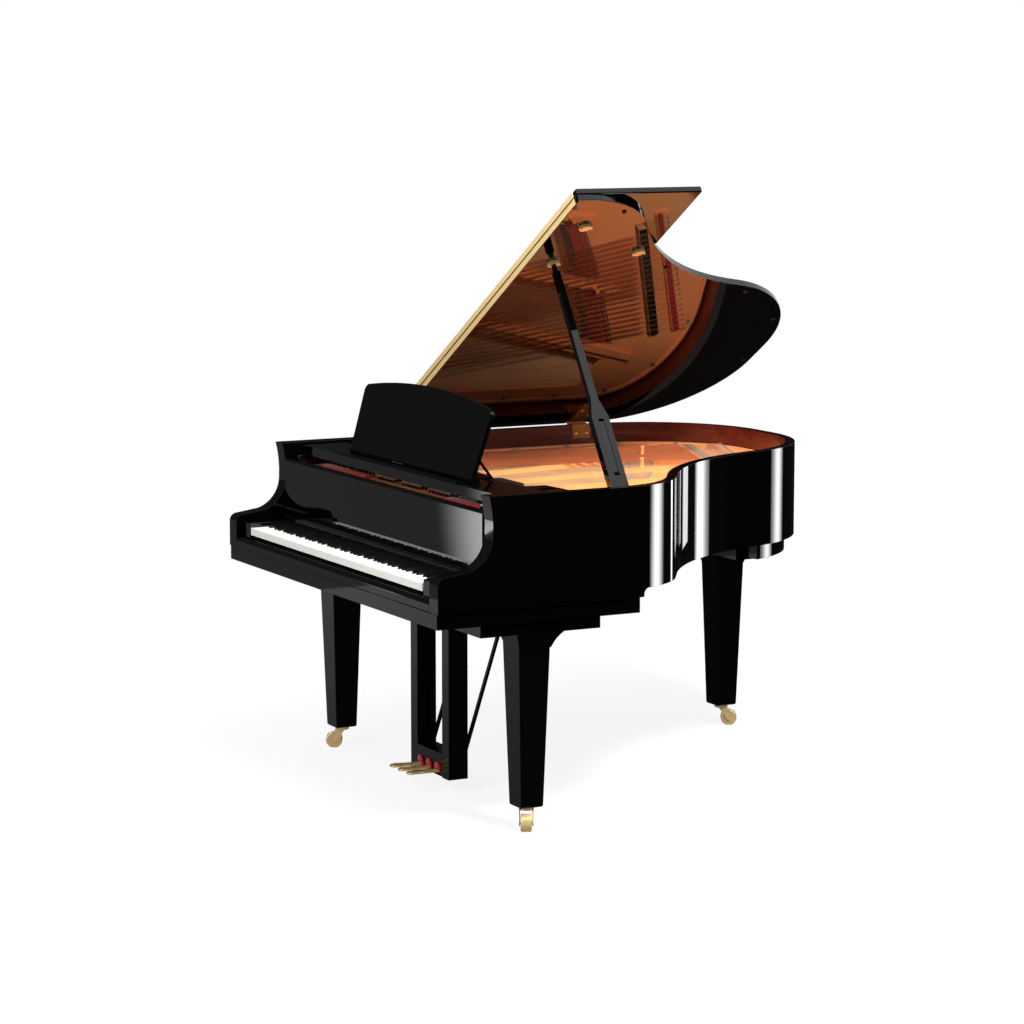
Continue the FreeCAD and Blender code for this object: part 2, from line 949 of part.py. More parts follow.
def white_key(note):
    octave = (note + first_note) // octave_notes
    place = octave * octave_whites + white_semitones.index(semitone_of(note)) - whites_before_first
    left = -key_span / 2 + place * white_width + key_gap
    right = left + white_width - 2 * key_gap
    tail_left, tail_right = key_slot(note)
    if note == 0:
        tail_left = left
    if note == note_count - 1:
        tail_right = right
    points = [(left, key_front), (right, key_front), (right, key_head_back)]
    points += [(tail_right, key_head_back), (tail_right, key_back), (tail_left, key_back)]
    points += [(tail_left, key_head_back), (left, key_head_back)]
    ring = zip(points, points[1:] + points[:1])
    corners = [here for here, there in ring if math.dist(here, there) > key_gap]
    return flat_plate(corners, key_bottom, white_top)


def black_key(note):
    left, right = key_slot(note)
    seat = white_top - sharp_seat
    front = key_head_back + sharp_front_gap
    stick = box(left, right, front, key_back, key_bottom, seat)
    points = [(front, seat), (sharp_back, seat), (sharp_back, sharp_top)]
    points.append((front + sharp_slope, sharp_top))
    cap = side_plate(points, left + sharp_margin, right - sharp_margin)
    return join([stick, cap])


def make_key(note):
    return white_key(note) if is_white(note) else black_key(note)


def make_key_set(white):
    notes = [n for n in range(note_count) if n not in single_notes and is_white(n) == white]
    return group([make_key(note) for note in notes])


def make_action():
    low = bed_top + fit_gap
    top = shank_bottom - fit_gap
    solids = pair(action_inner, action_outer, action_front, action_back, low, top)
    ends = [hammer_rail_front + action_rail_depth, action_back]
    for end in ends:
        front = end - action_rail_depth
        solids.append(box(-action_outer, action_outer, front, end, action_rail_bottom, top))
    return join(solids)


def hammer_at(x):
    points = [(hammer_front, shank_bottom), (hammer_back, shank_bottom), (hammer_back, hammer_top)]
    points += [(hammer_back - hammer_head, hammer_top), (hammer_back - hammer_head, shank_top)]
    points.append((hammer_front, shank_top))
    return side_plate(points, x - hammer_half, x + hammer_half)


def make_hammers():
    places = [fan_front(u).x for bay, u in bay_notes()]
    places += [bass_front(u).x for u in bass_shares()]
    return group([hammer_at(x) for x in places])


def make_fallboard():
    left = -fall_half
    back = fall_front + fall_thickness
    shoulder = fall_top - fall_thickness / 2
    start = V(left, fall_front, shoulder)
    end = V(left, back, shoulder)
    top = V(left, (fall_front + back) / 2, fall_top)
    edges = [arc(start, top, end)]
    edges += chain([end, V(left, back, fall_bottom), V(left, fall_front, fall_bottom), start])
    panel = Part.Face(Part.Wire(edges)).extrude(along_x * (2 * fall_half))
    return join([panel] + fall_pins(fall_pin_length, fall_pin_radius))


# Music desk


def desk_axis(x):
    return V(x, desk_axis_back, desk_axis_height)


def stay_axis(x):
    return V(x, desk_axis_back + stay_offset, desk_axis_height)


def make_desk_rails():
    return group(pair(rail_inner, arm_inner - fit_gap, rail_front, rail_back, rail_bottom, rail_top))


def make_desk_tray():
    solids = [box(-tray_half, tray_half, tray_front, tray_back, tray_bottom, tray_top)]
    points = [(tray_back, tray_bottom), (tray_arm_back, tray_bottom), (tray_arm_back, tray_arm_end)]
    points += [(tray_arm_slope, tray_top), (tray_back, tray_top)]
    solids.append(side_plate(points, tray_arm_inner, tray_arm_outer))
    solids.append(side_plate(points, -tray_arm_outer, -tray_arm_inner))
    solids.append(box(-ledge_half, ledge_half, ledge_front, ledge_back, tray_top, ledge_top))
    lug_front = desk_axis_back - lug_half
    lug_back = desk_axis_back + lug_half
    lug_top = desk_axis_height + lug_half
    solids += pair(lug_inner, lug_outer, lug_front, lug_back, tray_top, lug_top)
    saddle_front = stay_axis(0).y - saddle_half
    saddle_back = stay_axis(0).y + saddle_half
    solids += pair(saddle_inner, saddle_outer, saddle_front, saddle_back, tray_top, desk_axis_height)
    bore = rod(desk_axis(-tray_half), desk_axis(tray_half), desk_barrel + running_fit)
    groove = rod(stay_axis(-tray_half), stay_axis(tray_half), stay_half + running_fit)
    return join(solids).cut([bore, groove])


def make_music_desk():
    front = desk_axis_back - desk_thickness
    low = desk_axis_height
    right_low = V(desk_bottom_half, front, low)
    right_high = V(desk_top_half, front, low + desk_corner_height - desk_corner_radius)
    cut = desk_corner_radius * desk_corner_share
    right_mid = V(desk_top_half - cut, front, low + desk_corner_height - cut)
    right_top = V(desk_top_half - desk_corner_radius, front, low + desk_corner_height)
    middle = V(0, front, low + desk_top_height)
    left = [V(-p.x, p.y, p.z) for p in (right_low, right_high, right_mid, right_top)]
    edges = [Part.makeLine(left[0], right_low), Part.makeLine(right_low, right_high)]
    edges += [arc(right_high, right_mid, right_top), arc(right_top, middle, left[3])]
    edges += [arc(left[3], left[2], left[1]), Part.makeLine(left[1], left[0])]
    panel = Part.Face(Part.Wire(edges)).extrude(along_y * desk_thickness)
    barrel = rod(desk_axis(-lug_outer), desk_axis(lug_outer), desk_barrel)
    return turned(join([panel, barrel]), desk_axis(0), along_x, -desk_lean)


def make_desk_stay():
    cross = rod(stay_axis(-stay_bar_outer), stay_axis(stay_bar_outer), stay_half)
    axis = stay_axis(0)
    bars = pair(stay_bar_inner, stay_bar_outer, axis.y - stay_half, axis.y + stay_half,
                axis.z, axis.z + stay_length)
    return turned(join([cross] + bars), axis, along_x, stay_lean)


# Lid, drawn closed and then raised about the spine axis


def raised(shape):
    return turned(shape, spine_axis, -along_y, lid_angle)


def spine_rod(centre, first, last, radius):
    start = V(spine_axis.x, centre + first, spine_axis.z)
    return rod(start, start + along_y * (last - first), radius)


def spine_thirds():
    third = spine_half * 2 / 3
    return (-spine_half, third - spine_half - fit_gap, third - spine_half, spine_half - third)


def make_spine_rim_leaves():
    solids = []
    outer, outer_end = spine_thirds()[:2]
    inner = -half_width + rim_thickness
    for centre in spine_centres:
        y0 = centre - spine_half
        y1 = centre + spine_half
        top = box(-half_width, inner + spine_leaf + fit_gap, y0, y1, rim_top, rim_top + spine_leaf)
        drop = box(inner + fit_gap, inner + fit_gap + spine_leaf, y0, y1,
                   rim_top - spine_inner_drop, rim_top + spine_leaf)
        pieces = [top, drop, spine_rod(centre, -spine_half, spine_half, spine_pin)]
        for first, last in ((outer, outer_end), (-outer_end, -outer)):
            pieces.append(spine_rod(centre, first, last, spine_knuckle))
            pieces.append(box(spine_axis.x, -half_width, centre + first, centre + last,
                              rim_top, rim_top + spine_leaf))
        solids.append(join(pieces))
    return group(solids)


def make_spine_lid_leaves():
    solids = []
    middle, middle_end = spine_thirds()[2:]
    for centre in spine_centres:
        start = -half_width
        leaf = box(start, start + spine_lid_reach, centre - spine_half, centre + spine_half,
                   lid_bottom - spine_leaf, lid_bottom)
        tongue = box(spine_axis.x, start, centre + middle, centre + middle_end,
                     lid_bottom - spine_leaf, lid_bottom)
        barrel = spine_rod(centre, middle, middle_end, spine_knuckle)
        bore = spine_rod(centre, -spine_half, spine_half, spine_pin + running_fit)
        solids.append(raised(join([leaf, tongue, barrel]).cut(bore)))
    return group(solids)


def make_main_lid():
    panel = outline(-lid_overhang, lid_split + split_gap, lid_bottom, lid_top)
    notches = []
    for centre in spine_centres:
        y0 = centre - spine_half - spine_notch
        y1 = centre + spine_half + spine_notch
        right = -half_width + spine_notch
        top = spine_axis_height + spine_knuckle + spine_notch
        notches.append(box(-case_width, right, y0, y1, lid_bottom - spine_notch, top))
    return raised(panel.cut(notches))


def folded(shape):
    # the front lid lies upside down on the main lid
    return raised(turned(shape, V(0, lid_split, fold_height), along_x, 2 * quarter_turn))


def make_front_lid():
    reach = half_width + lid_overhang
    panel = box(-reach, reach, lid_front, lid_split - split_gap, lid_bottom, lid_top)
    return folded(panel)


def long_hinge(own, side):
    # one leaf of the long hinge with its own knuckles; side is +1 on the main lid
    reach = half_width - lid_overhang
    length = 2 * reach / long_segments
    clear = long_knuckle + fit_gap
    inner = lid_split + side * leaf_gap
    outer = lid_split + side * (split_gap - running_fit)
    y0 = min(inner, outer)
    y1 = max(inner, outer)
    low = lid_bottom + long_leaf_foot
    pieces = [box(-reach, reach, y0, y1, low, fold_height - clear)]
    for number in own:
        x0 = -reach + number * length
        x1 = x0 + length - fit_gap
        start = V(x0, lid_split, fold_height)
        pieces.append(rod(start, V(x1, lid_split, fold_height), long_knuckle))
        pieces.append(box(x0, x1, y0, y1, fold_height - clear, fold_height))
    return pieces


def long_pin_rod(radius):
    reach = half_width - lid_overhang
    return rod(V(-reach, lid_split, fold_height), V(reach - fit_gap, lid_split, fold_height), radius)


def make_long_hinge_main():
    own = range(0, long_segments, 2)
    return raised(join(long_hinge(own, 1) + [long_pin_rod(long_pin)]))


def make_long_hinge_front():
    own = range(1, long_segments, 2)
    leaf = join(long_hinge(own, -1))
    return folded(leaf.cut(long_pin_rod(long_pin + running_fit)))


# Long prop, drawn upright at the origin, leaned and set on its pin


def prop_local(shape):
    copy = turned(shape, V(0, 0, 0), along_z, prop_plan)
    copy.translate(V(*prop_foot))
    return copy


def prop_placed(shape):
    return prop_local(turned(shape, V(0, 0, 0), along_y, -prop_lean))


def prop_direction():
    lean = math.radians(prop_lean)
    plan = math.radians(prop_plan)
    return V(-math.sin(lean) * math.cos(plan), -math.sin(lean) * math.sin(plan), math.cos(lean))


def lid_normal():
    return V(-math.sin(math.radians(lid_angle)), 0, math.cos(math.radians(lid_angle)))


def prop_length():
    # from the pin to the underside of its cup
    height = lid_bottom - cup_thickness - spine_axis.z - prop_seat_gap
    offset = lid_normal().dot(V(*prop_foot) - spine_axis)
    return (height - offset) / lid_normal().dot(prop_direction())


def prop_cup_place():
    tip = V(*prop_foot) + prop_direction() * prop_length()
    slope = V(math.cos(math.radians(lid_angle)), 0, math.sin(math.radians(lid_angle)))
    return spine_axis.x + slope.dot(tip - spine_axis), tip.y


def make_long_prop():
    top = prop_length() - prop_peg_length
    outline_points = [(-prop_half_width, -prop_heel), (prop_half_width, -prop_heel)]
    outline_points += [(prop_half_width, prop_wide_end), (prop_neck_half, prop_neck_start)]
    outline_points += [(prop_tip_half, top), (-prop_tip_half, top)]
    outline_points += [(-prop_neck_half, prop_neck_start), (-prop_half_width, prop_wide_end)]
    stick = side_plate(outline_points, -prop_half_thick, prop_half_thick)
    taper = [(-prop_half_thick, -prop_heel), (prop_half_thick, -prop_heel)]
    taper += [(prop_half_thick, prop_wide_end), (prop_neck_thick, prop_neck_start), (prop_tip_half, top)]
    taper += [(-prop_tip_half, top), (-prop_neck_thick, prop_neck_start), (-prop_half_thick, prop_wide_end)]
    stick = stick.common(front_plate(taper, -prop_half_width, prop_half_width))
    peg = rod(V(0, 0, top - prop_heel), V(0, 0, prop_length()), prop_peg_radius)
    stick = join([stick, peg])
    slot = box(slot_floor, 2 * prop_half_thick, -slot_half, slot_half, slot_bottom, slot_top)
    bore = rod(V(0, -prop_half_width, 0), V(0, prop_half_width, 0), prop_pin + running_fit)
    pin_start = V(short_offset, -slot_half - short_pin, short_axis)
    pin = rod(pin_start, V(short_offset, slot_half + short_pin, short_axis), short_pin)
    return prop_placed(join([stick.cut([slot, bore]), pin]))


def make_short_prop():
    low = short_offset - short_thick
    high = short_offset + short_thick
    bar = box(low, high, -short_half, short_half, short_axis, short_axis + short_length)
    axis = V(short_offset, 0, short_axis)
    heel = rod(axis - along_y * short_half, axis + along_y * short_half, short_thick)
    bore = rod(axis - along_y * slot_half, axis + along_y * slot_half, short_pin + running_fit)
    return prop_placed(join([bar, heel]).cut(bore))


def make_prop_bracket():
    inner = prop_half_width + fit_gap
    outer = inner + bracket_lug
    lug_low = -bracket_drop
    pieces = [box(-bracket_half, bracket_half, inner, outer, lug_low, bracket_lug_top)]
    pieces.append(box(-bracket_half, bracket_half, -outer, -inner, lug_low, bracket_lug_top))
    pieces.append(box(-bracket_half, bracket_reach, -outer, outer, lug_low, lug_low + bracket_base))
    pieces.append(rod(V(0, -outer, 0), V(0, outer, 0), prop_pin))
    room = outline(rim_thickness + fit_gap, 0, 0, rim_top)
    return prop_local(join(pieces)).common(room)


def cup_at(place):
    seat = V(place[0], place[1], lid_bottom - cup_thickness)
    disc = rod(seat, seat + along_z * cup_thickness, cup_radius)
    foot = seat - along_z * cup_wall
    wall = rod(foot, seat, cup_radius).cut(rod(foot, seat, cup_inner))
    half = box(place[0] - cup_radius, place[0], place[1] - cup_radius, place[1] + cup_radius, 0, seat.z)
    return raised(join([disc, wall.cut(half)]))


def make_prop_cups():
    places = [prop_cup_place()]
    places += [(x * half_width, y * case_length) for x, y in spare_cup_shares]
    return group([cup_at(place) for place in places])


# Legs, castors and lyre


def make_leg(x, y, top):
    steps = [(leg_foot_half - leg_foot_chamfer, leg_bottom), (leg_foot_half, leg_bottom + leg_foot_chamfer)]
    steps += [(leg_neck_half, top - leg_neck_drop), (leg_mid_half, top - leg_mid_drop)]
    steps += [(leg_cap_half, top - leg_cap_drop), (leg_cap_half, top)]
    right = steps + [(-half, height) for half, height in steps[::-1]]
    front = front_plate([(x + half, height) for half, height in right], y - leg_cap_half, y + leg_cap_half)
    side = side_plate([(y + half, height) for half, height in right], x - leg_cap_half, x + leg_cap_half)
    leg = front.common(side)
    socket_top = V(x, y, leg_bottom + stem_length + fit_gap)
    return leg.cut(rod(V(x, y, 0), socket_top, stem_radius + running_fit))


def corbel(side):
    # the curved bracket behind a front leg, under its plate
    left = side * leg_front_x - corbel_half
    front = leg_front_y + leg_cap_half + fit_gap
    low = front_leg_top - corbel_drop
    high = V(left, front + corbel_depth, front_leg_top)
    foot = V(left, front, low)
    middle = V(left, front + corbel_depth * corbel_share, front_leg_top - corbel_drop * corbel_share)
    edges = [arc(foot, middle, high)] + chain([high, V(left, front, front_leg_top), foot])
    return Part.Face(Part.Wire(edges)).extrude(along_x * (2 * corbel_half))


def make_leg_plates():
    plates = pair(plate_inner_x, plate_outer_x, plate_front_y, plate_back_y, front_leg_top, bed_bottom)
    solids = [join([plate, corbel(side)]) for plate, side in zip(plates, (1, -1))]
    solids.append(box(leg_rear_x - rear_block_left, leg_rear_x + rear_block_right,
                      leg_rear_y - rear_block_front, leg_rear_y + rear_block_back,
                      rear_leg_top, tail_rim_bottom))
    return group(solids)


def castor_places():
    spots = [(leg_front_x, leg_front_y), (-leg_front_x, leg_front_y), (leg_rear_x, leg_rear_y)]
    return list(zip(spots, castor_turns))


def castor_placed(shape, place):
    (x, y), turn = place
    copy = turned(shape, V(0, 0, 0), along_z, turn)
    copy.translate(V(x, y, 0))
    return copy


def make_castor_fork(place):
    top = leg_bottom - fit_gap
    pieces = [rod(V(0, 0, castor_plate_bottom), V(0, 0, top), castor_plate_radius)]
    pieces.append(rod(V(0, 0, top - fit_gap), V(0, 0, leg_bottom + stem_length), stem_radius))
    bottom = wheel_radius - cheek_half
    points = [(-cheek_root, top), (cheek_root, top), (castor_trail + cheek_half, wheel_radius)]
    points += [(castor_trail + cheek_half / 2, bottom), (castor_trail - cheek_half / 2, bottom)]
    for side in (-1, 1):
        first = side * cheek_inner
        last = side * cheek_outer
        pieces.append(front_plate(points, min(first, last), max(first, last)))
    pieces.append(box(-cheek_root, cheek_root, -cheek_outer, cheek_outer, castor_plate_bottom, top))
    axle = V(castor_trail, -cheek_outer, wheel_radius)
    pieces.append(rod(axle, V(castor_trail, cheek_outer, wheel_radius), axle_radius))
    return castor_placed(join(pieces), place)


def make_castor_wheel(place):
    rim = wheel_radius - wheel_chamfer
    side = wheel_half - wheel_chamfer
    bore = axle_radius + running_fit
    profile = [(bore, -wheel_half), (rim, -wheel_half), (wheel_radius, -side), (wheel_radius, side)]
    profile += [(rim, wheel_half), (bore, wheel_half)]
    points = [V(castor_trail + r, y, wheel_radius) for r, y in profile]
    face = Part.Face(Part.makePolygon(points + points[:1]))
    wheel = face.revolve(V(castor_trail, 0, wheel_radius), along_y, 4 * quarter_turn)
    return castor_placed(wheel, place)


def rod_holes(radius):
    holes = []
    for x in pedal_centres:
        holes.append(rod(V(x, pedal_rod_back, 0), V(x, pedal_rod_back, bed_bottom), radius))
    return holes


def make_lyre_frame():
    head = box(-head_half, head_half, head_front, head_back, head_bottom, bed_bottom)
    head = head.cut(rod_holes(pedal_rod_radius + pedal_rod_room))
    posts = pair(post_inner_x, post_outer_x, lyre_front, lyre_back, lyre_bottom, head_bottom)
    return group([head] + posts)


def make_lyre_box():
    reach = post_inner_x - fit_gap
    shell = box(-reach, reach, lyre_front, lyre_back, pedal_box_bottom, pedal_box_top)
    wall = pedal_box_wall
    room = box(wall - reach, reach - wall, lyre_front + wall, 2 * lyre_back,
               pedal_box_bottom + wall, pedal_box_top - wall)
    cuts = [room]
    for x in pedal_centres:
        cuts.append(box(x - pedal_slot_half, x + pedal_slot_half, 0, 2 * lyre_back,
                        pedal_slot_bottom, pedal_slot_top))
    axle = rod(V(-reach, pedal_axis_back, pedal_axis_height), V(reach, pedal_axis_back, pedal_axis_height),
               pedal_axle)
    return join([shell.cut(cuts), axle])


def make_pedal(x):
    toe = pedal_tip + pedal_toe_length
    points = [(x - pedal_half, pedal_heel), (x - pedal_half, toe), (x - pedal_toe_half, toe - pedal_toe_half)]
    points += [(x - pedal_toe_half, pedal_tip + pedal_toe_half), (x - pedal_half, pedal_tip)]
    points += [(2 * x - px, py) for px, py in points[::-1]]
    lever = flat_plate(points, pedal_bottom, pedal_top)
    start = V(x - 2 * pedal_half, pedal_axis_back, pedal_axis_height)
    bore = rod(start, start + along_x * (4 * pedal_half), pedal_axle + running_fit)
    return lever.cut(bore)


def make_pedal_rod(x):
    foot = V(x, pedal_rod_back, pedal_top + fit_gap)
    return rod(foot, V(x, pedal_rod_back, pedal_rod_top), pedal_rod_radius)


def make_lyre_braces():
    solids = []
    for x in (-brace_x, brace_x):
        low = V(x, lyre_back, brace_low)
        high = V(x, brace_run, bed_bottom)
        path = (high - low).normalize() * brace_over
        bar = rod(low - path, high + path, brace_radius)
        room = box(-case_width, case_width, lyre_back, case_length, 0, bed_bottom)
        solids.append(bar.common(room).Solids[0])
    return group(solids)


# All nodes by name

nodes = {
    "outer_rim": make_outer_rim(),
    "inner_rim": make_inner_rim(),
    "back_frame": make_back_frame(),
    "soundboard": make_soundboard(),
    "bridges": make_bridges(),
    "pin_block": make_pin_block(),
    "cast_plate": make_plate(),
    "plate_bolts": make_plate_bolts(),
    "plain_strings": make_plain_strings(),
    "bass_strings": make_bass_strings(),
    "key_bed": make_key_bed(),
    "key_slip": make_key_slip(),
    "key_blocks": make_key_blocks(),
    "key_frame": make_key_frame(),
    "action_rails": make_action(),
    "hammers": make_hammers(),
    "dampers": make_dampers(),
    "white_keys": make_key_set(True),
    "black_keys": make_key_set(False),
    "fallboard": make_fallboard(),
    "desk_rails": make_desk_rails(),
    "desk_tray": make_desk_tray(),
    "music_desk": make_music_desk(),
    "desk_stay": make_desk_stay(),
    "main_lid": make_main_lid(),
    "front_lid": make_front_lid(),
    "spine_rim_leaves": make_spine_rim_leaves(),
    "spine_lid_leaves": make_spine_lid_leaves(),
    "long_hinge_main": make_long_hinge_main(),
    "long_hinge_front": make_long_hinge_front(),
    "long_prop": make_long_prop(),
    "short_prop": make_short_prop(),
    "prop_bracket": make_prop_bracket(),
    "prop_cups": make_prop_cups(),
    "right_leg": make_leg(leg_front_x, leg_front_y, front_leg_top),
    "left_leg": make_leg(-leg_front_x, leg_front_y, front_leg_top),
    "rear_leg": make_leg(leg_rear_x, leg_rear_y, rear_leg_top),
    "leg_plates": make_leg_plates(),
    "lyre_frame": make_lyre_frame(),
    "lyre_box": make_lyre_box(),
    "lyre_braces": make_lyre_braces(),
}
for note, name in single_notes.items():
    nodes[name] = make_key(note)
for name, x in zip(pedal_names, pedal_centres):
    nodes[name + "_pedal"] = make_pedal(x)
    nodes[name + "_pedal_rod"] = make_pedal_rod(x)
for name, place in zip(("right", "left", "rear"), castor_places()):
    nodes[name + "_castor_fork"] = make_castor_fork(place)
    nodes[name + "_castor_wheel"] = make_castor_wheel(place)

# The origin goes to the middle of the foot of the whole
lid_stack = 2 * lid_thickness + fold_gap + lid_bottom - spine_axis.z
lid_left = lid_stack * lid_normal().x - (lid_overhang - spine_axis_out) * lid_normal().z
whole_left = spine_axis.x + lid_left
origin = V((half_width + whole_left) / 2, (case_length + lid_overhang) / 2, 0)

os.makedirs("parts", exist_ok=True)
for name, shape in nodes.items():
    shape.translate(-origin)
    shape.exportStep("parts/" + name + ".step")
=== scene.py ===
import json
import math

import bmesh
import bpy
import numpy as np
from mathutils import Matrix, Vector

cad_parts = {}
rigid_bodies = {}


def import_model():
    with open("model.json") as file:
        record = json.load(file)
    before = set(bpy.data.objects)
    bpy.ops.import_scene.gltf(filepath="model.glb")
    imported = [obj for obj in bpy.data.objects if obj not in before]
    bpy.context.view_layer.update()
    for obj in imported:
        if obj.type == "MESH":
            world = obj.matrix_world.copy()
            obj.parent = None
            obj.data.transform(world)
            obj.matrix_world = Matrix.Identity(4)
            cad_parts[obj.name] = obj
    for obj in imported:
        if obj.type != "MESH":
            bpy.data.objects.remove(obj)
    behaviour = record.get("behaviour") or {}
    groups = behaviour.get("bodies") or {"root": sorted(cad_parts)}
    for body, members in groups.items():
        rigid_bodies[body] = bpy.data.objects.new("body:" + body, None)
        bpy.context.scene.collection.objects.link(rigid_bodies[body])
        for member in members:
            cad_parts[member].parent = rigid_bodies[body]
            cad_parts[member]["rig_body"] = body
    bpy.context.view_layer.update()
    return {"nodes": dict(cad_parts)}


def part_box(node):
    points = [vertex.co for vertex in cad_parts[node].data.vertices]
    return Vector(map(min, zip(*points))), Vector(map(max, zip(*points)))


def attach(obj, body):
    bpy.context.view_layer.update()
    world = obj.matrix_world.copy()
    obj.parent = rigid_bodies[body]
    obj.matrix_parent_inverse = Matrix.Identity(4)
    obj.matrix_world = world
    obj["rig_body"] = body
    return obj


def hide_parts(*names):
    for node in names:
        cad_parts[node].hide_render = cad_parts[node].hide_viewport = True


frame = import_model()

# Datum of the case, read from the frame: the middle of its width and the front of its arms.
rim_low, rim_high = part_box("outer_rim")
case_middle = (rim_low.x + rim_high.x) / 2
case_front = rim_low.y
case_width = rim_high.x - rim_low.x
half_width = case_width / 2
case_length = rim_high.y - rim_low.y
rim_top = rim_high.z
datum = np.array((case_middle, case_front, 0.0))
upright = np.array((0.0, 0.0, 1.0))
full_turn = 2 * math.pi
white = (1.0, 1.0, 1.0, 1.0)


def tone(red, green, blue):
    """A colour as it looks on screen, 0 to 255, turned into the linear values a shader takes."""
    share = np.array((red, green, blue)) / 255.0
    linear = np.where(share <= 0.04045, share / 12.92, ((share + 0.055) / 1.055) ** 2.4)
    return (*linear.tolist(), 1.0)


# Shader nodes, and the groups that several finishes share.
def feed(tree, socket, value):
    """Links a socket to another one, or sets it to a plain value."""
    if isinstance(value, bpy.types.NodeSocket):
        tree.links.new(value, socket)
    else:
        socket.default_value = value


def own_place(tree):
    """The place on a piece in its own coordinates."""
    return tree.nodes.new("ShaderNodeTexCoord").outputs["Object"]


def add_noise(tree, place, **values):
    """Soft noise over the places, with its other sockets linked or set."""
    node = tree.nodes.new("ShaderNodeTexNoise")
    feed(tree, node.inputs["Vector"], place)
    for label, value in values.items():
        feed(tree, node.inputs[label], value)
    return node.outputs["Fac"]


def add_math(tree, operation, *values, kind="ShaderNodeMath"):
    """A sum, product or length of the values, as a number or as a vector node."""
    node = tree.nodes.new(kind)
    node.operation = operation
    for order, value in enumerate(values):
        feed(tree, node.inputs[order], value)
    return node


def add_range(tree, value, reach, levels=(0.0, 1.0), smooth=False):
    """A number carried over from its reach to the levels, evenly or by a smooth step."""
    node = tree.nodes.new("ShaderNodeMapRange")
    if smooth:
        node.interpolation_type = "SMOOTHSTEP"
    labels = ("From Min", "From Max", "To Min", "To Max")
    for label, limit in zip(labels, (*reach, *levels)):
        node.inputs[label].default_value = limit
    feed(tree, node.inputs["Value"], value)
    return node.outputs["Result"]


def add_mix(tree, factor, dark, light):
    """A mix of two colours."""
    node = tree.nodes.new("ShaderNodeMix")
    node.data_type = "RGBA"
    for label, value in (("Factor", factor), ("A", dark), ("B", light)):
        feed(tree, node.inputs[label], value)
    return node.outputs["Result"]


def new_group(name, inputs, outputs):
    """An empty shader group with the named number, colour and vector sockets."""
    group = bpy.data.node_groups.new(name, "ShaderNodeTree")
    for label, kind, value in inputs:
        socket = group.interface.new_socket(label, in_out="INPUT", socket_type=kind)
        socket.default_value = value
    for label, kind in outputs:
        group.interface.new_socket(label, in_out="OUTPUT", socket_type=kind)
    entry = group.nodes.new("NodeGroupInput")
    leave = group.nodes.new("NodeGroupOutput")
    return group, entry.outputs, leave.inputs


def make_haze_group():
    """Cloudy change of gloss: a base value plus a share of soft noise."""
    group, entry, leave = new_group(
        "polish_haze",
        [("Base", "NodeSocketFloat", 0.05), ("Amount", "NodeSocketFloat", 0.05),
         ("Scale", "NodeSocketFloat", 6.0)],
        [("Gloss", "NodeSocketFloat")])
    cloud = add_noise(group, own_place(group), Scale=entry["Scale"], Detail=5.0)
    gloss = add_math(group, "MULTIPLY_ADD", cloud, entry["Amount"], entry["Base"])
    feed(group, leave["Gloss"], gloss.outputs[0])
    return group


def make_timber_group():
    """Wood figure: noise drawn out along the grain by the stretch, mixed between two colours."""
    group, entry, leave = new_group(
        "timber_figure",
        [("Light", "NodeSocketColor", (0.8, 0.6, 0.4, 1.0)),
         ("Dark", "NodeSocketColor", (0.4, 0.2, 0.1, 1.0)),
         ("Stretch", "NodeSocketVector", (40.0, 3.0, 40.0))],
        [("Colour", "NodeSocketColor"), ("Height", "NodeSocketFloat")])
    drawn = add_math(group, "MULTIPLY", own_place(group), entry["Stretch"],
                     kind="ShaderNodeVectorMath")
    figure = add_noise(group, drawn.outputs[0], Scale=1.0, Detail=8.0, Distortion=0.4)
    sharpened = add_range(group, figure, (0.3, 0.7))
    feed(group, leave["Colour"], add_mix(group, sharpened, entry["Dark"], entry["Light"]))
    feed(group, leave["Height"], figure)
    return group


def make_fleck_group():
    """Fine fleck: two sizes of noise, half of each, mix two colours; the finer is the height."""
    group, entry, leave = new_group(
        "fleck",
        [("Light", "NodeSocketColor", (0.8, 0.8, 0.8, 1.0)),
         ("Dark", "NodeSocketColor", (0.6, 0.6, 0.6, 1.0)),
         ("Scale", "NodeSocketFloat", 300.0)],
        [("Colour", "NodeSocketColor"), ("Height", "NodeSocketFloat")])
    place = own_place(group)
    fine = add_noise(group, place, Scale=entry["Scale"], Detail=3.0)
    broad = add_noise(group, place, Scale=9.0)
    half = add_math(group, "MULTIPLY", broad, 0.5)
    both = add_math(group, "MULTIPLY_ADD", fine, 0.5, half.outputs[0])
    colour = add_mix(group, both.outputs[0], entry["Dark"], entry["Light"])
    feed(group, leave["Colour"], colour)
    feed(group, leave["Height"], fine)
    return group


haze_group = make_haze_group()
timber_group = make_timber_group()
fleck_group = make_fleck_group()


def call_group(tree, group, **values):
    """A use of a shared group in a material, with its sockets set."""
    node = tree.nodes.new("ShaderNodeGroup")
    node.node_tree = group
    for label, value in values.items():
        node.inputs[label].default_value = value
    return node


def start_material(name):
    """A new material and its one surface node."""
    material = bpy.data.materials.new(name)
    material.use_nodes = True
    tree = material.node_tree
    return material, tree, tree.nodes["Principled BSDF"]


def coloured(name, pattern, colours, rough, haze, haze_scale):
    """A new material whose colour comes from a shared pattern and its gloss from the haze."""
    material, tree, surface = start_material(name)
    colour = call_group(tree, pattern, **colours)
    gloss = call_group(tree, haze_group, Base=rough, Amount=haze, Scale=haze_scale)
    feed(tree, surface.inputs["Base Color"], colour.outputs["Colour"])
    feed(tree, surface.inputs["Roughness"], gloss.outputs["Gloss"])
    return material, surface, colour.outputs


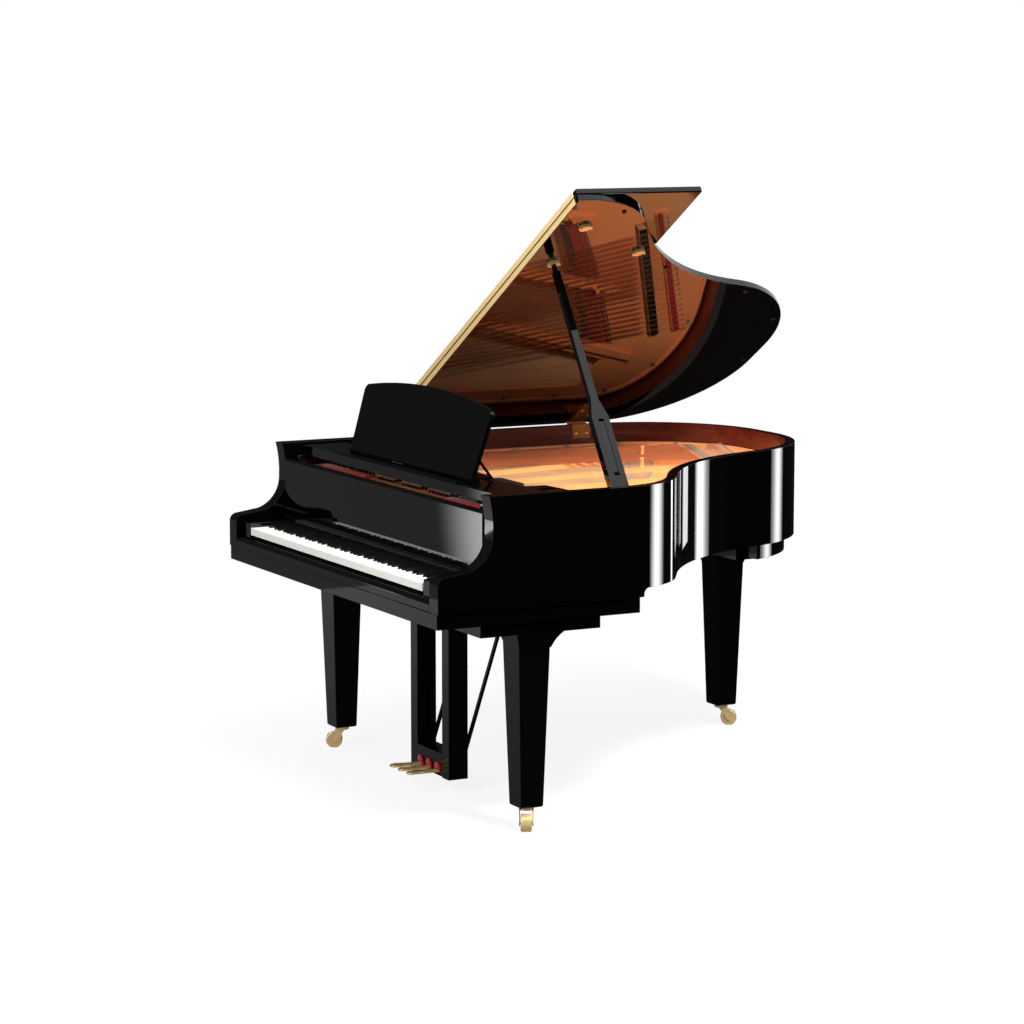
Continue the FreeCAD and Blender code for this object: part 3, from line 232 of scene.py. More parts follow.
def bump(material, surface, height, strength, distance):
    """Lets a height pattern tilt the surface a little."""
    tree = material.node_tree
    node = tree.nodes.new("ShaderNodeBump")
    node.inputs["Strength"].default_value = strength
    node.inputs["Distance"].default_value = distance
    feed(tree, node.inputs["Height"], height)
    feed(tree, surface.inputs["Normal"], node.outputs["Normal"])


def lacquer(name, light, dark, rough, haze, ior, coat=0.0, tint=white):
    """Polished lacquer, key covering or rubber: two close colours with cloudy gloss."""
    colours = {"Light": light, "Dark": dark, "Scale": 40.0}
    material, surface, _ = coloured(name, fleck_group, colours, rough, haze, haze_scale=5.0)
    surface.inputs["IOR"].default_value = ior
    surface.inputs["Coat Weight"].default_value = coat
    surface.inputs["Coat Roughness"].default_value = rough
    surface.inputs["Specular Tint"].default_value = tint
    return material


def timber(name, light, dark, stretch, rough, coat=0.0):
    """Wood with its grain drawn along one direction."""
    colours = {"Light": light, "Dark": dark, "Stretch": stretch}
    material, surface, figure = coloured(name, timber_group, colours, rough,
                                         haze=0.1, haze_scale=12.0)
    surface.inputs["Coat Weight"].default_value = coat
    surface.inputs["Coat Roughness"].default_value = 0.06
    bump(material, surface, figure["Height"], strength=0.15, distance=0.0004)
    return material


def metal(name, light, dark, rough, metallic, scale, coat=0.0):
    """Metal or metallic paint with a fine fleck and cloudy gloss."""
    colours = {"Light": light, "Dark": dark, "Scale": scale}
    material, surface, fleck = coloured(name, fleck_group, colours, rough,
                                        haze=0.14, haze_scale=22.0)
    surface.inputs["Metallic"].default_value = metallic
    surface.inputs["Coat Weight"].default_value = coat
    bump(material, surface, fleck["Height"], strength=0.12, distance=0.0002)
    return material


def cloth(name, light, dark, sheen=0.3):
    """Felt: matt, with a soft fibre fleck."""
    colours = {"Light": light, "Dark": dark, "Scale": 900.0}
    material, surface, fleck = coloured(name, fleck_group, colours, rough=0.85,
                                        haze=0.1, haze_scale=60.0)
    surface.inputs["Sheen Weight"].default_value = sheen
    bump(material, surface, fleck["Height"], strength=0.5, distance=0.0006)
    return material


black_lacquer = lacquer("black_lacquer_finish", tone(3, 3, 3), tone(1, 1, 1),
                        rough=0.015, haze=0.03, ior=1.6)
lid_lacquer = lacquer("lid_mirror_finish", tone(4, 4, 5), tone(2, 2, 3),
                      rough=0.012, haze=0.03, ior=1.95, tint=(1.0, 0.54, 0.44, 1.0))
satin_black = lacquer("satin_black_finish", tone(22, 23, 24), tone(12, 13, 14),
                      rough=0.22, haze=0.12, ior=1.5)
rubber = lacquer("rubber_finish", tone(30, 30, 31), tone(20, 20, 21),
                 rough=0.5, haze=0.15, ior=1.45)
ebony_key = lacquer("ebony_key_finish", tone(9, 9, 10), tone(4, 4, 5),
                    rough=0.16, haze=0.1, ior=1.45)
ivory_key = lacquer("ivory_key_finish", tone(236, 234, 229), tone(228, 226, 220),
                    rough=0.1, haze=0.08, ior=1.5, coat=0.2)
mahogany = timber("mahogany_finish", tone(108, 33, 15), tone(68, 17, 7),
                  stretch=(30.0, 4.0, 90.0), rough=0.25, coat=0.6)
spruce = timber("spruce_finish", tone(250, 206, 156), tone(236, 180, 122),
                stretch=(160.0, 5.0, 60.0), rough=0.3, coat=0.4)
maple = timber("maple_finish", tone(226, 186, 130), tone(196, 148, 92),
               stretch=(50.0, 8.0, 50.0), rough=0.4)
gold_paint = metal("gold_paint_finish", tone(252, 168, 106), tone(242, 148, 86),
                   rough=0.38, metallic=0.05, scale=500.0, coat=0.15)
bright_brass = metal("bright_brass_finish", tone(255, 226, 166), tone(244, 206, 138),
                     rough=0.16, metallic=0.62, scale=90.0, coat=0.6)
hinge_brass = metal("hinge_brass_finish", tone(255, 230, 170), tone(248, 212, 146),
                    rough=0.3, metallic=0.22, scale=90.0, coat=0.3)
aged_brass = metal("aged_brass_finish", tone(186, 124, 56), tone(132, 82, 34),
                   rough=0.3, metallic=0.6, scale=120.0, coat=0.2)
# Darker brass for the faces along the hinge's fold: painted shade of the gap between the two
# leaves.
hinge_gap_shade = metal("hinge_line_finish", tone(140, 96, 44), tone(104, 68, 28),
                   rough=0.35, metallic=0.6, scale=120.0)
steel = metal("steel_finish", tone(206, 204, 200), tone(172, 168, 162),
              rough=0.28, metallic=0.7, scale=160.0)
string_wire = metal("string_wire_finish", tone(226, 178, 132), tone(180, 134, 96),
                    rough=0.34, metallic=0.6, scale=160.0)
dark_steel = metal("dark_steel_finish", tone(52, 54, 56), tone(30, 32, 34),
                   rough=0.25, metallic=0.8, scale=160.0)
copper = metal("copper_winding_finish", tone(220, 126, 82), tone(168, 84, 48),
               rough=0.32, metallic=0.6, scale=260.0)
red_felt = cloth("red_felt_finish", tone(190, 26, 36), tone(140, 14, 24))
white_felt = cloth("white_felt_finish", tone(240, 236, 226), tone(218, 212, 200))
# Black felt for the strip over the keys: its black is painted shade behind the sharps.
shade_black_felt = cloth("black_felt_finish", tone(9, 9, 10), tone(4, 4, 5), sheen=0.03)


# Plan of the case in metres from its datum; the bends are shares of its width.
wall_thickness = 0.030
arms_end = 0.425
straight_end = 0.5857
bend_radius = case_width * 0.204
bend_turn = 57.3
bend_line = case_width * 0.0427
waist_radius = case_width * 0.565
waist_turn = 42.7
tail_radius = case_width * 0.2931
tail_turn = 90.0 - bend_turn + waist_turn
tail_corner = case_width * 0.2737
curve_steps = 40


def swing(start, heading, radius, turn, inset):
    """Arc points: the start plus the radius times the change of the unit circle over the turn."""
    angles = np.radians(heading + np.linspace(0.0, turn, curve_steps))
    reach = radius - inset if turn > 0 else -(radius + inset)
    path = reach * np.stack((np.sin(angles), -np.cos(angles)), 1)
    return start + path - path[0]


def outline_path(inset, front=0.0):
    """The case's plan moved inwards: treble side, bend, waist, tail, corner and spine, joined
    end to end."""
    first = np.array((half_width - inset, front))
    start = np.array((half_width - inset, straight_end))
    bend = swing(start, 90.0, bend_radius, bend_turn, inset)
    heading = 90.0 + bend_turn
    along = np.array((math.cos(math.radians(heading)), math.sin(math.radians(heading))))
    waist = swing(bend[-1] + along * bend_line, heading, waist_radius, -waist_turn, inset)
    tail = swing(waist[-1], heading - waist_turn, tail_radius, tail_turn, inset)
    turn_in = np.array((tail_corner - half_width, tail[-1][1]))
    corner = swing(turn_in, 180.0, tail_corner, 90.0, inset)
    last = np.array((inset - half_width, front))
    plan = np.concatenate((first[None], bend, waist, tail, corner, last[None]))
    return np.column_stack((plan, np.zeros(len(plan))))


def within(points, ring):
    """True for the points a closed ring goes round, by counting the sides a level line crosses."""
    ahead = np.roll(ring, -1, axis=0)
    low, high = ring[None], ahead[None]
    level = points[:, None, 1]
    crosses = (low[..., 1] > level) != (high[..., 1] > level)
    rise = np.where(high[..., 1] == low[..., 1], 1.0, high[..., 1] - low[..., 1])
    meet = low[..., 0] + (level - low[..., 1]) / rise * (high[..., 0] - low[..., 0])
    return (crosses & (points[:, None, 0] < meet)).sum(1) % 2 == 1


# The lid: its axis on the spine, its lean, and its thickness.
lid_gap = 0.006
lid_thickness = 0.019
lid_split = 0.556
spine_axis_out = 0.0048
spine_axis_rise = 0.004
fold_line_half = 0.0024


def lid_upward():
    """The open lid's upward direction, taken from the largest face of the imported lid."""
    mesh = frame["nodes"]["main_lid"].data
    areas = np.zeros(len(mesh.polygons))
    normals = np.zeros(len(mesh.polygons) * 3)
    mesh.polygons.foreach_get("area", areas)
    mesh.polygons.foreach_get("normal", normals)
    upward = normals.reshape(-1, 3)[areas.argmax()]
    return upward * np.sign(upward[2])


spine_axis = np.array((-half_width - spine_axis_out, 0.0, rim_top + spine_axis_rise))
lid_up = lid_upward()
lid_out = np.array((lid_up[2], 0.0, -lid_up[0]))
lid_under = rim_top + lid_gap


def raised(points):
    """Places drawn for the closed lid, turned up about the spine axis to the open lid."""
    local = points - spine_axis
    depth = local[..., 1:2] * np.array((0.0, 1.0, 0.0))
    return spine_axis + local[..., :1] * lid_out + depth + local[..., 2:] * lid_up


# Faces that take a second finish.
facing = 0.5
wall_probe = 0.02
wall_share = 0.9


def inner_wall(centres, normals):
    """Upright faces behind the arms whose normals, followed a little way, stay inside the case."""
    probe = centres[:, :2] + normals[:, :2] * wall_probe
    inside = within(probe, outline_path(wall_thickness * wall_share)[:, :2])
    return inside & (np.abs(normals[:, 2]) < facing) & (centres[:, 1] > arms_end)


def looks_down(centres, normals):
    """Faces that look downwards."""
    return normals[:, 2] < -facing


def looks_up(centres, normals):
    """Faces that look upwards."""
    return normals[:, 2] > facing


def near_fold(centres, normals):
    """Faces of the long hinge close to the line it folds on; their darker brass is painted shade of
    the gap between the two leaves.
    """
    fold = raised(np.array((0.0, lid_split, lid_under + lid_thickness))) @ lid_up
    return np.abs(centres @ lid_up - fold) < fold_line_half


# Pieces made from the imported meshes: the same surface, merged, with its edges rounded over.
merge_distance = 0.00002
flat_angle = 0.012
rounding_angle = math.radians(32.0)
unrounded_crease = math.radians(35.0)


def dressed(node, finish, edge=0.0015, steps=2, second=None, chosen=None):
    """A copy of a node's mesh whose loose corners are merged and flat faces joined, with rounded
    edges. Faces picked out by chosen(centres, normals) take the second finish."""
    source = frame["nodes"][node]
    mesh = source.data.copy()
    mesh.name = node + "_dressed"
    shape = bmesh.new()
    shape.from_mesh(mesh)
    bmesh.ops.remove_doubles(shape, verts=shape.verts, dist=merge_distance)
    bmesh.ops.dissolve_limit(shape, angle_limit=flat_angle, verts=shape.verts, edges=shape.edges)
    shape.to_mesh(mesh)
    shape.free()
    for label in ("custom_normal", "sharp_edge", "sharp_face"):
        if label in mesh.attributes:
            mesh.attributes.remove(mesh.attributes[label])
    mesh.materials.clear()
    mesh.materials.append(finish)
    faces = len(mesh.polygons)
    mesh.polygons.foreach_set("use_smooth", np.ones(faces, bool))
    picked = np.zeros(faces, int)
    if second is not None:
        mesh.materials.append(second)
        centres = np.zeros(faces * 3)
        normals = np.zeros(faces * 3)
        mesh.polygons.foreach_get("center", centres)
        mesh.polygons.foreach_get("normal", normals)
        picked = chosen(centres.reshape(-1, 3) - datum, normals.reshape(-1, 3)).astype(int)
    mesh.polygons.foreach_set("material_index", picked)
    mesh.update()
    piece = bpy.data.objects.new(node + "_finish", mesh)
    bpy.context.scene.collection.objects.link(piece)
    if edge:
        rounding = piece.modifiers.new("rounded_edges", "BEVEL")
        rounding.width = edge
        rounding.segments = steps
        rounding.limit_method = "ANGLE"
        rounding.angle_limit = rounding_angle
        rounding.harden_normals = True
        rounding.use_clamp_overlap = True
    else:
        mesh.set_sharp_from_angle(angle=unrounded_crease)
    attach(piece, source["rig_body"])
    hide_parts(node)


def dress_all(nodes, finish, **look):
    """The same dress for several nodes."""
    for node in nodes:
        dressed(node, finish, **look)


dressed("outer_rim", black_lacquer, edge=0.003, steps=3, second=mahogany, chosen=inner_wall)
dressed("main_lid", black_lacquer, edge=0.004, steps=3, second=lid_lacquer, chosen=looks_down)
dressed("front_lid", black_lacquer, edge=0.004, steps=3)
dress_all(("key_bed", "key_slip", "key_blocks", "fallboard", "desk_rails", "desk_tray",
           "music_desk", "desk_stay", "long_prop", "right_leg", "left_leg", "rear_leg",
           "leg_plates", "lyre_frame", "lyre_box", "lyre_braces", "inner_rim"),
          black_lacquer, edge=0.002)
dressed("short_prop", satin_black)
dress_all(("back_frame", "key_frame"), satin_black, edge=0.002, steps=1)
dressed("soundboard", spruce, edge=0.0)
dressed("bridges", maple, edge=0.001, steps=1, second=satin_black, chosen=looks_up)
dress_all(("pin_block", "action_rails"), maple, edge=0.001, steps=1)
dressed("cast_plate", gold_paint, edge=0.0025)
dressed("plate_bolts", steel, edge=0.001)
dressed("hammers", white_felt, edge=0.0)
dress_all(("white_keys", "key_c4", "key_d4", "key_e4", "key_f4"), ivory_key, edge=0.0008)
dress_all(("black_keys", "key_cs4", "key_ds4", "key_fs4"), ebony_key, edge=0.0012)
dress_all(("spine_rim_leaves", "spine_lid_leaves"), aged_brass, edge=0.0006)
# The faces along each long hinge's fold take the darker brass, painted shade of the gap between the
# leaves.
dress_all(("long_hinge_main", "long_hinge_front"), hinge_brass, edge=0.0,
          second=hinge_gap_shade, chosen=near_fold)
dress_all(("prop_bracket", "prop_cups"), bright_brass, edge=0.0008)
dress_all(("left_pedal_rod", "middle_pedal_rod", "right_pedal_rod"), dark_steel, edge=0.0)
for side in ("right", "left", "rear"):
    dress_all((side + "_castor_fork", side + "_castor_wheel"), bright_brass, edge=0.001, steps=1)


# Shapes worked out as whole arrays: each is (points, four-sided faces), in metres from the datum.
bar_steps = 3
bar_first_lift = 0.25
added_crease = math.radians(50.0)


def wound(rings):
    """Closed tubes over rings (tubes, steps, sides, 3); the ends are closed by fans of quads."""
    count, steps, sides, _ = rings.shape
    index = np.arange(count * steps * sides).reshape(count, steps, sides)
    turn = np.roll(index, -1, axis=2)
    walls = np.stack((index[:, :-1], turn[:, :-1], turn[:, 1:], index[:, 1:]), -1).reshape(-1, 4)
    fan = np.arange(1, sides - 2, 2)
    cap = np.stack((np.zeros_like(fan), fan, fan + 1, fan + 2), -1)
    starts = index[:, 0][:, cap][:, :, ::-1].reshape(-1, 4)
    ends = index[:, -1][:, cap].reshape(-1, 4)
    return rings.reshape(-1, 3), np.concatenate((walls, starts, ends))


def circle_angles(sides):
    """Angles of a full turn in equal steps."""
    return np.linspace(0.0, full_turn, sides, endpoint=False)


def tubes(paths, radius, sides=6):
    """Round tubes along paths (tubes, steps, 3): each point plus the radius times a turning unit
    vector square to the path."""
    along = np.gradient(paths, axis=1)
    along /= np.linalg.norm(along, axis=2, keepdims=True)
    across = np.cross(upright, along)
    across /= np.linalg.norm(across, axis=2, keepdims=True)
    above = np.cross(along, across)
    angles = circle_angles(sides)[None, None, :, None]
    reach = np.broadcast_to(np.asarray(radius, float), paths.shape[:2])[:, :, None, None]
    ring = np.cos(angles) * across[:, :, None] + np.sin(angles) * above[:, :, None]
    return wound(paths[:, :, None] + reach * ring)


def carried(path, profile):
    """A closed profile (side, up) carried along a level path, its side square to the path."""
    along = np.gradient(path, axis=0)
    along /= np.linalg.norm(along, axis=1, keepdims=True)
    across = np.cross(upright, along)
    profile = np.asarray(profile, float)
    ring = profile[None, :, :1] * across[:, None] + profile[None, :, 1:] * upright
    return wound((path[:, None] + ring)[None])


def lathed(profile, sides):
    """A turned form round the upright axis: each (radius, height) of the profile swept through
    a full turn."""
    profile = np.asarray(profile, float)
    angles = circle_angles(sides)
    radius = profile[:, :1]
    height = np.broadcast_to(profile[:, 1:], (len(profile), sides))
    return wound(np.stack((radius * np.cos(angles), radius * np.sin(angles), height), -1)[None])


def rounded_bar(low, high, edge):
    """A bar with rounded edges: rounded oblongs whose corner radius follows a quarter circle at
    each end."""
    low = np.asarray(low, float)
    high = np.asarray(high, float)
    middle = (low + high) / 2
    half = (high - low) / 2
    lift = np.linspace(bar_first_lift, math.pi / 2, bar_steps)
    corner = np.concatenate((edge * np.sin(lift), edge * np.sin(lift)[::-1]))
    rise = edge * (1 - np.cos(lift))
    heights = np.concatenate((low[2] + rise, (high[2] - rise)[::-1]))
    quarter = np.linspace(0.0, math.pi / 2, bar_steps)
    angles = np.concatenate([quarter + k * math.pi / 2 for k in range(4)])
    signs = np.repeat(np.array(((1, 1), (-1, 1), (-1, -1), (1, -1))), bar_steps, axis=0)
    flat = middle[:2] + signs * (half[:2] - edge)
    circle = np.stack((np.cos(angles), np.sin(angles)), 1)
    ring = flat[None] + corner[:, None, None] * circle[None]
    level = np.broadcast_to(heights[:, None, None], (len(heights), len(angles), 1))
    return wound(np.concatenate((ring, level), 2)[None])


def ruled(near, far, thickness):
    """A flat strip between two edge paths, as thick as given, standing on them."""
    lift = upright * thickness
    return wound(np.stack((near, far, far + lift, near + lift), 1)[None])


def repeated(shape, places):
    """One shape set down at many places."""
    points, faces = shape
    places = np.asarray(places, float)
    spots = points[None] + places[:, None]
    shifts = (np.arange(len(places)) * len(points))[:, None, None]
    return spots.reshape(-1, 3), (faces[None] + shifts).reshape(-1, 4)


def merged(*shapes):
    """Several shapes as one."""
    counts = np.cumsum([0] + [len(points) for points, _ in shapes[:-1]])
    faces = [face + shift for (_, face), shift in zip(shapes, counts)]
    return np.concatenate([points for points, _ in shapes]), np.concatenate(faces)


def added(name, shape, finish, body):
    """A piece made from arrays, set from the datum into the row frame, riding on its body."""
    points, faces = shape
    mesh = bpy.data.meshes.new(name)
    mesh.vertices.add(len(points))
    mesh.vertices.foreach_set("co", (points + datum).ravel())
    mesh.loops.add(faces.size)
    mesh.loops.foreach_set("vertex_index", faces.ravel().astype(np.int32))
    mesh.polygons.add(len(faces))
    mesh.polygons.foreach_set("loop_start", np.arange(0, faces.size, 4, dtype=np.int32))
    mesh.polygons.foreach_set("use_smooth", np.ones(len(faces), bool))
    mesh.update(calc_edges=True)
    mesh.validate()
    mesh.set_sharp_from_angle(angle=added_crease)
    mesh.materials.append(finish)
    piece = bpy.data.objects.new(name, mesh)
    bpy.context.scene.collection.objects.link(piece)
    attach(piece, body)
    return piece


# The string fan: front ends on one line, rear ends on a curve along the bent side.
plate_low, plate_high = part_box("cast_plate")
plate_thickness = 0.012
plate_top = plate_low.z + plate_thickness
plain_low, plain_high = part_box("plain_strings")
bass_low, bass_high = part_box("bass_strings")
plain_height = (plain_low.z + plain_high.z) / 2
bass_height = (bass_low.z + bass_high.z) / 2
agraffe_line = 0.400
fan_left = -0.3624 * half_width
fan_right = half_width - 0.145
fan_rear = np.array((-0.7248 * half_width, 0.8297 * case_length))
fan_bulge = np.array((0.1611 * half_width, 0.6857 * case_length))
fan_near = np.array((0.792 * half_width, 0.3688 * case_length))
bass_first = -0.8134 * half_width
bass_last = -0.4027 * half_width
bass_rear_first = np.array((-0.5772 * half_width, 0.9565 * case_length))
bass_rear_last = np.array((-0.0537 * half_width, 0.8643 * case_length))
strut_shares = (0.0, 0.2, 0.42, 0.65, 0.85, 1.0)
strut_margin = 0.03
plain_count = 68
bass_count = 20


def string_point(across, rear, share, height):
    """A point on a string: from the front line towards its rear end, by a share of the way."""
    front = np.stack((across, np.full_like(across, agraffe_line)), -1)
    plan = front + (rear - front) * share
    return np.concatenate((plan, np.full(plan.shape[:-1] + (1,), height)), -1)


def fan_point(u, share, height):
    """A point on the plain fan, whose rear ends lie on a quadratic curve."""
    u = np.asarray(u, float)
    w = u[..., None]
    rear = fan_rear * (1 - w) ** 2 + fan_bulge * 2 * w * (1 - w) + fan_near * w**2
    return string_point(fan_left + (fan_right - fan_left) * u, rear, share, height)


def bass_point(u, share, height):
    """A point on the bass fan, whose rear ends lie on a straight line."""
    u = np.asarray(u, float)
    w = u[..., None]
    rear = bass_rear_first * (1 - w) + bass_rear_last * w
    return string_point(bass_first + (bass_last - bass_first) * u, rear, share, height)


def plain_shares():
    """Places of the plain notes across the fan, shared out over the bays between the struts."""
    shares = []
    for first, last in zip(strut_shares, strut_shares[1:]):
        count = round(plain_count * (last - first))
        room = last - first - 2 * strut_margin
        shares.append(first + strut_margin + room * (np.arange(count) + 0.5) / count)
    return shares


# Plain strings, three to a note, with their pins in three staggered rows.
plain_bays = plain_shares()
plain_notes = np.concatenate(plain_bays)
unison_gap = 0.0046
pin_rise = upright * 0.012
pin_front = 0.366
pin_row_step = 0.036
pin_stagger = 0.016
wire_radius = 0.0006
plain_unisons = plain_notes[:, None] + unison_gap * np.array((-1.0, 0.0, 1.0))
plain_strings = plain_unisons.reshape(-1)
plain_pins = fan_point(plain_unisons, 0.0, plate_top)
pin_rows = pin_front - pin_row_step * np.arange(3)
plain_pins[..., 1] = pin_rows - (pin_stagger * (np.arange(len(plain_notes)) % 2))[:, None]
plain_seats = plain_pins.reshape(-1, 3)
plain_bridge = 0.85
plain_end = 0.958
plain_end_drop = 0.001


def plain_wires():
    """Each plain string from its pin over the front line and the bridge to its hitch pin."""
    steps = (plain_seats + pin_rise,
             fan_point(plain_strings, 0.0, plain_height),
             fan_point(plain_strings, plain_bridge, plain_height),
             fan_point(plain_strings, plain_end, plain_height - plain_end_drop))
    return tubes(np.stack(steps, 1), wire_radius)


strings = added("treble_wires", plain_wires(), string_wire, "case")
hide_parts("plain_strings")

# Bass strings: single ones first, then pairs, with their pins in three rows.
bass_notes = (np.arange(bass_count) + 0.5) / bass_count
bass_singles = 8
pair_gap = 0.0085
bass_pairs = (bass_notes[bass_singles:, None] + pair_gap * np.array((-1.0, 1.0))).reshape(-1)
bass_strings = np.concatenate((bass_notes[:bass_singles], bass_pairs))
bass_radius = np.interp(bass_strings, (0.0, 1.0), (0.0026, 0.0014))
core_radius = 0.0007
bass_pin_front = 0.362
bass_pin_step = 0.03
bass_seats = bass_point(bass_strings, 0.0, plate_top)
bass_seats[:, 1] = bass_pin_front - bass_pin_step * (np.arange(len(bass_strings)) % 3)
bass_bridge = 0.9
bass_end = 0.99
bass_end_drop = 0.002
winding_shares = (0.022, 0.03, 0.86, 0.87)
winding_taper = np.array((0.45, 1.0, 1.0, 0.45))


def bass_windings():
    """The copper winding of each bass string, tapered at both ends, from the front line to the
    bridge."""
    path = [bass_point(bass_strings, share, bass_height) for share in winding_shares]
    return tubes(np.stack(path, 1), bass_radius[:, None] * winding_taper, 8)


def bass_cores():
    """The steel core of each bass string, from its pin to its hitch pin."""
    steps = (bass_seats + pin_rise,
             bass_point(bass_strings, 0.0, bass_height),
             bass_point(bass_strings, bass_bridge, bass_height),
             bass_point(bass_strings, bass_end, bass_height - bass_end_drop))
    return tubes(np.stack(steps, 1), core_radius)


wound_strings = added("bass_windings", bass_windings(), copper, "case")
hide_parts("bass_strings")
added("bass_cores", bass_cores(), string_wire, "case")

# Pins: (radius, height) profiles, set down at the seats.
pin_profile = ((0.0034, 0.0), (0.0034, 0.018), (0.0028, 0.022), (0.0024, 0.026))
coil_profile = ((0.0036, 0.008), (0.0048, 0.009), (0.0048, 0.015), (0.0036, 0.016))
all_seats = np.concatenate((plain_seats, bass_seats))
added("tuning_pins", repeated(lathed(pin_profile, 8), all_seats), dark_steel, "case")
added("pin_coils", repeated(lathed(coil_profile, 8), all_seats), steel, "case")

bass_rest_height = 0.012
bass_rest_top = plate_top + bass_rest_height
plain_hitch = 0.96
bass_hitch = 0.992
hitch_profile = ((0.0018, 0.0), (0.0018, 0.007), (0.0012, 0.008))
hitch_seats = np.concatenate((fan_point(plain_strings, plain_hitch, plate_top),
                              bass_point(bass_strings, bass_hitch, bass_rest_top)))
added("hitch_pins", repeated(lathed(hitch_profile, 6), hitch_seats), steel, "case")

bridge_pin_profile = ((0.0009, 0.0), (0.0009, 0.005), (0.0005, 0.0055))
plain_pin_shares = (0.8425, 0.8575)
bass_pin_shares = (0.896, 0.904)
plain_pin_foot = plain_height - 0.002
bass_pin_foot = bass_height - 0.003
bridge_seats = np.concatenate(
    [fan_point(plain_strings, share, plain_pin_foot) for share in plain_pin_shares]
    + [bass_point(bass_strings, share, bass_pin_foot) for share in bass_pin_shares])
added("bridge_pins", repeated(lathed(bridge_pin_profile, 6), bridge_seats),
      steel, "case")


def front_studs():
    """The studs that hold the strings at the front line: short for the plain notes, taller for
    the bass."""
    low_notes = np.concatenate(plain_bays[:3])
    short_stud = rounded_bar((-0.0055, -0.0035, 0.0), (0.0055, 0.0035, 0.0095), edge=0.0015)
    tall_stud = rounded_bar((-0.0045, -0.0035, 0.0), (0.0045, 0.0035, 0.025), edge=0.0015)
    return merged(repeated(short_stud, fan_point(low_notes, 0.0, plate_top)),
                  repeated(tall_stud, bass_point(bass_notes, 0.0, plate_top)))


added("front_studs", front_studs(), bright_brass, "case")

pressure_bar_ends = np.array(((0.668, 0.832), (0.868, 0.985)))
pressure_bar_share = 0.004
pressure_bar_rise = 0.007
pressure_bar_radius = 0.006


def pressure_bars():
    """Two round bars that press the treble strings down along the front line."""
    first, last = pressure_bar_ends[:, :1], pressure_bar_ends[:, 1:]
    u = first + (last - first) * np.linspace(0.0, 1.0, 6)
    path = fan_point(u, pressure_bar_share, plain_height + pressure_bar_rise)
    return tubes(path, pressure_bar_radius, 12)


added("pressure_bars", pressure_bars(), gold_paint, "case")

# Dampers over the bass and all bays of the plain strings but the last.
damper_low, damper_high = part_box("dampers")
damper_front = 0.490
damper_back = 0.526
damper_middle = (damper_front + damper_back) / 2
damper_half_depth = (damper_back - damper_front) / 2
felt_half = 0.003
head_half = 0.0035
bass_damper_foot = bass_height + 0.0021


def damper_row(point, notes, foot, felt_height, head_edge):
    """Damper heads and the felts under them, where the notes' strings cross the dampers' line."""
    front = point(notes, 0.0, 0.0)
    reach = point(notes, 1.0, 0.0) - front
    spots = front + reach * ((damper_middle - agraffe_line) / reach[:, 1:2])
    parting = foot + felt_height
    felt = rounded_bar((-felt_half, -damper_half_depth, foot),
                       (felt_half, damper_half_depth, parting), edge=0.001)
    head = rounded_bar((-head_half, -damper_half_depth, parting),
                       (head_half, damper_half_depth, damper_high.z), edge=head_edge)
    return repeated(head, spots), repeated(felt, spots)


plain_heads, plain_felts = damper_row(fan_point, np.concatenate(plain_bays[:4]), damper_low.z,
                                      felt_height=0.009, head_edge=0.0015)
bass_heads, bass_felts = damper_row(bass_point, bass_notes, bass_damper_foot,
                                    felt_height=0.003, head_edge=0.001)
heads = added("damper_heads", merged(plain_heads, bass_heads), satin_black, "dampers")
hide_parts("dampers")
added("damper_felts", merged(plain_felts, bass_felts), white_felt, "dampers")

# Felt strips on the plate, at the pins and over the keys, and the bass strings' rest; the strip
# over the keys is made black to paint the deep shade behind the sharps.
strip_steps = np.linspace(0.0, 1.0, 25)


def strip(point, u, shares, height, thickness):
    """A strip across the strings, from one share of their length to another."""
    near, far = shares
    return ruled(point(u, near, height), point(u, far, height), thickness)


def bay_felts(margin, shares, height, thickness):
    """A felt strip in each bay between the struts."""
    bays = zip(strut_shares, strut_shares[1:])
    spans = [first + margin + (last - first - 2 * margin) * strip_steps for first, last in bays]
    return merged(*[strip(fan_point, u, shares, height, thickness) for u in spans])


felt_margin = 0.025
string_felt = 0.0018
front_felts = bay_felts(felt_margin, (0.012, 0.055), plate_top, string_felt)
rear_felts = bay_felts(felt_margin, (0.934, 0.95), plate_top, string_felt)
added("front_string_felts", front_felts, red_felt, "case")
added("rear_string_felts", rear_felts, red_felt, "case")
pin_felt_top = plate_top + 0.009
pin_field_felts = [rounded_bar((low, 0.246, plate_top), (high, 0.272, pin_felt_top), edge=0.001)
                   for low, high in ((-0.58, -0.25), (0.30, 0.60))]
added("pin_field_felts", merged(*pin_field_felts), red_felt, "case")
# A felt strip over the keys' rear ends, made black as painted shade behind the sharps.
shade_felt_strip = rounded_bar((-0.616, 0.169, 0.7372), (0.616, 0.200, 0.749), edge=0.001)
added("key_rail_shade_felt", shade_felt_strip, shade_black_felt, "case")
bass_span = -0.02 + 1.04 * strip_steps
bass_rest = strip(bass_point, bass_span, (1.0, 0.955), plate_top, bass_rest_height)
bass_felt = strip(bass_point, bass_span, (0.975, 0.958), bass_rest_top, thickness=0.003)
added("bass_rest", bass_rest, gold_paint, "case")
added("bass_felt", bass_felt, red_felt, "case")

# The raised rim of the plate, the felt woven under the strings behind the bridge, and two posts.
flange_inset = 0.046
flange_front = 0.56
flange_profile = ((0.007, -0.001), (0.005, 0.006), (0.0, 0.008), (-0.005, 0.006),
                  (-0.007, -0.001), (0.0, -0.002))
flange = outline_path(flange_inset, flange_front) + upright * plate_top
added("plate_flange", carried(flange, flange_profile), gold_paint, "case")

woven_foot = plain_height - 0.0036
woven = bay_felts(strut_margin, (0.875, 0.922), woven_foot, thickness=0.003)
added("woven_felt", woven, red_felt, "case")

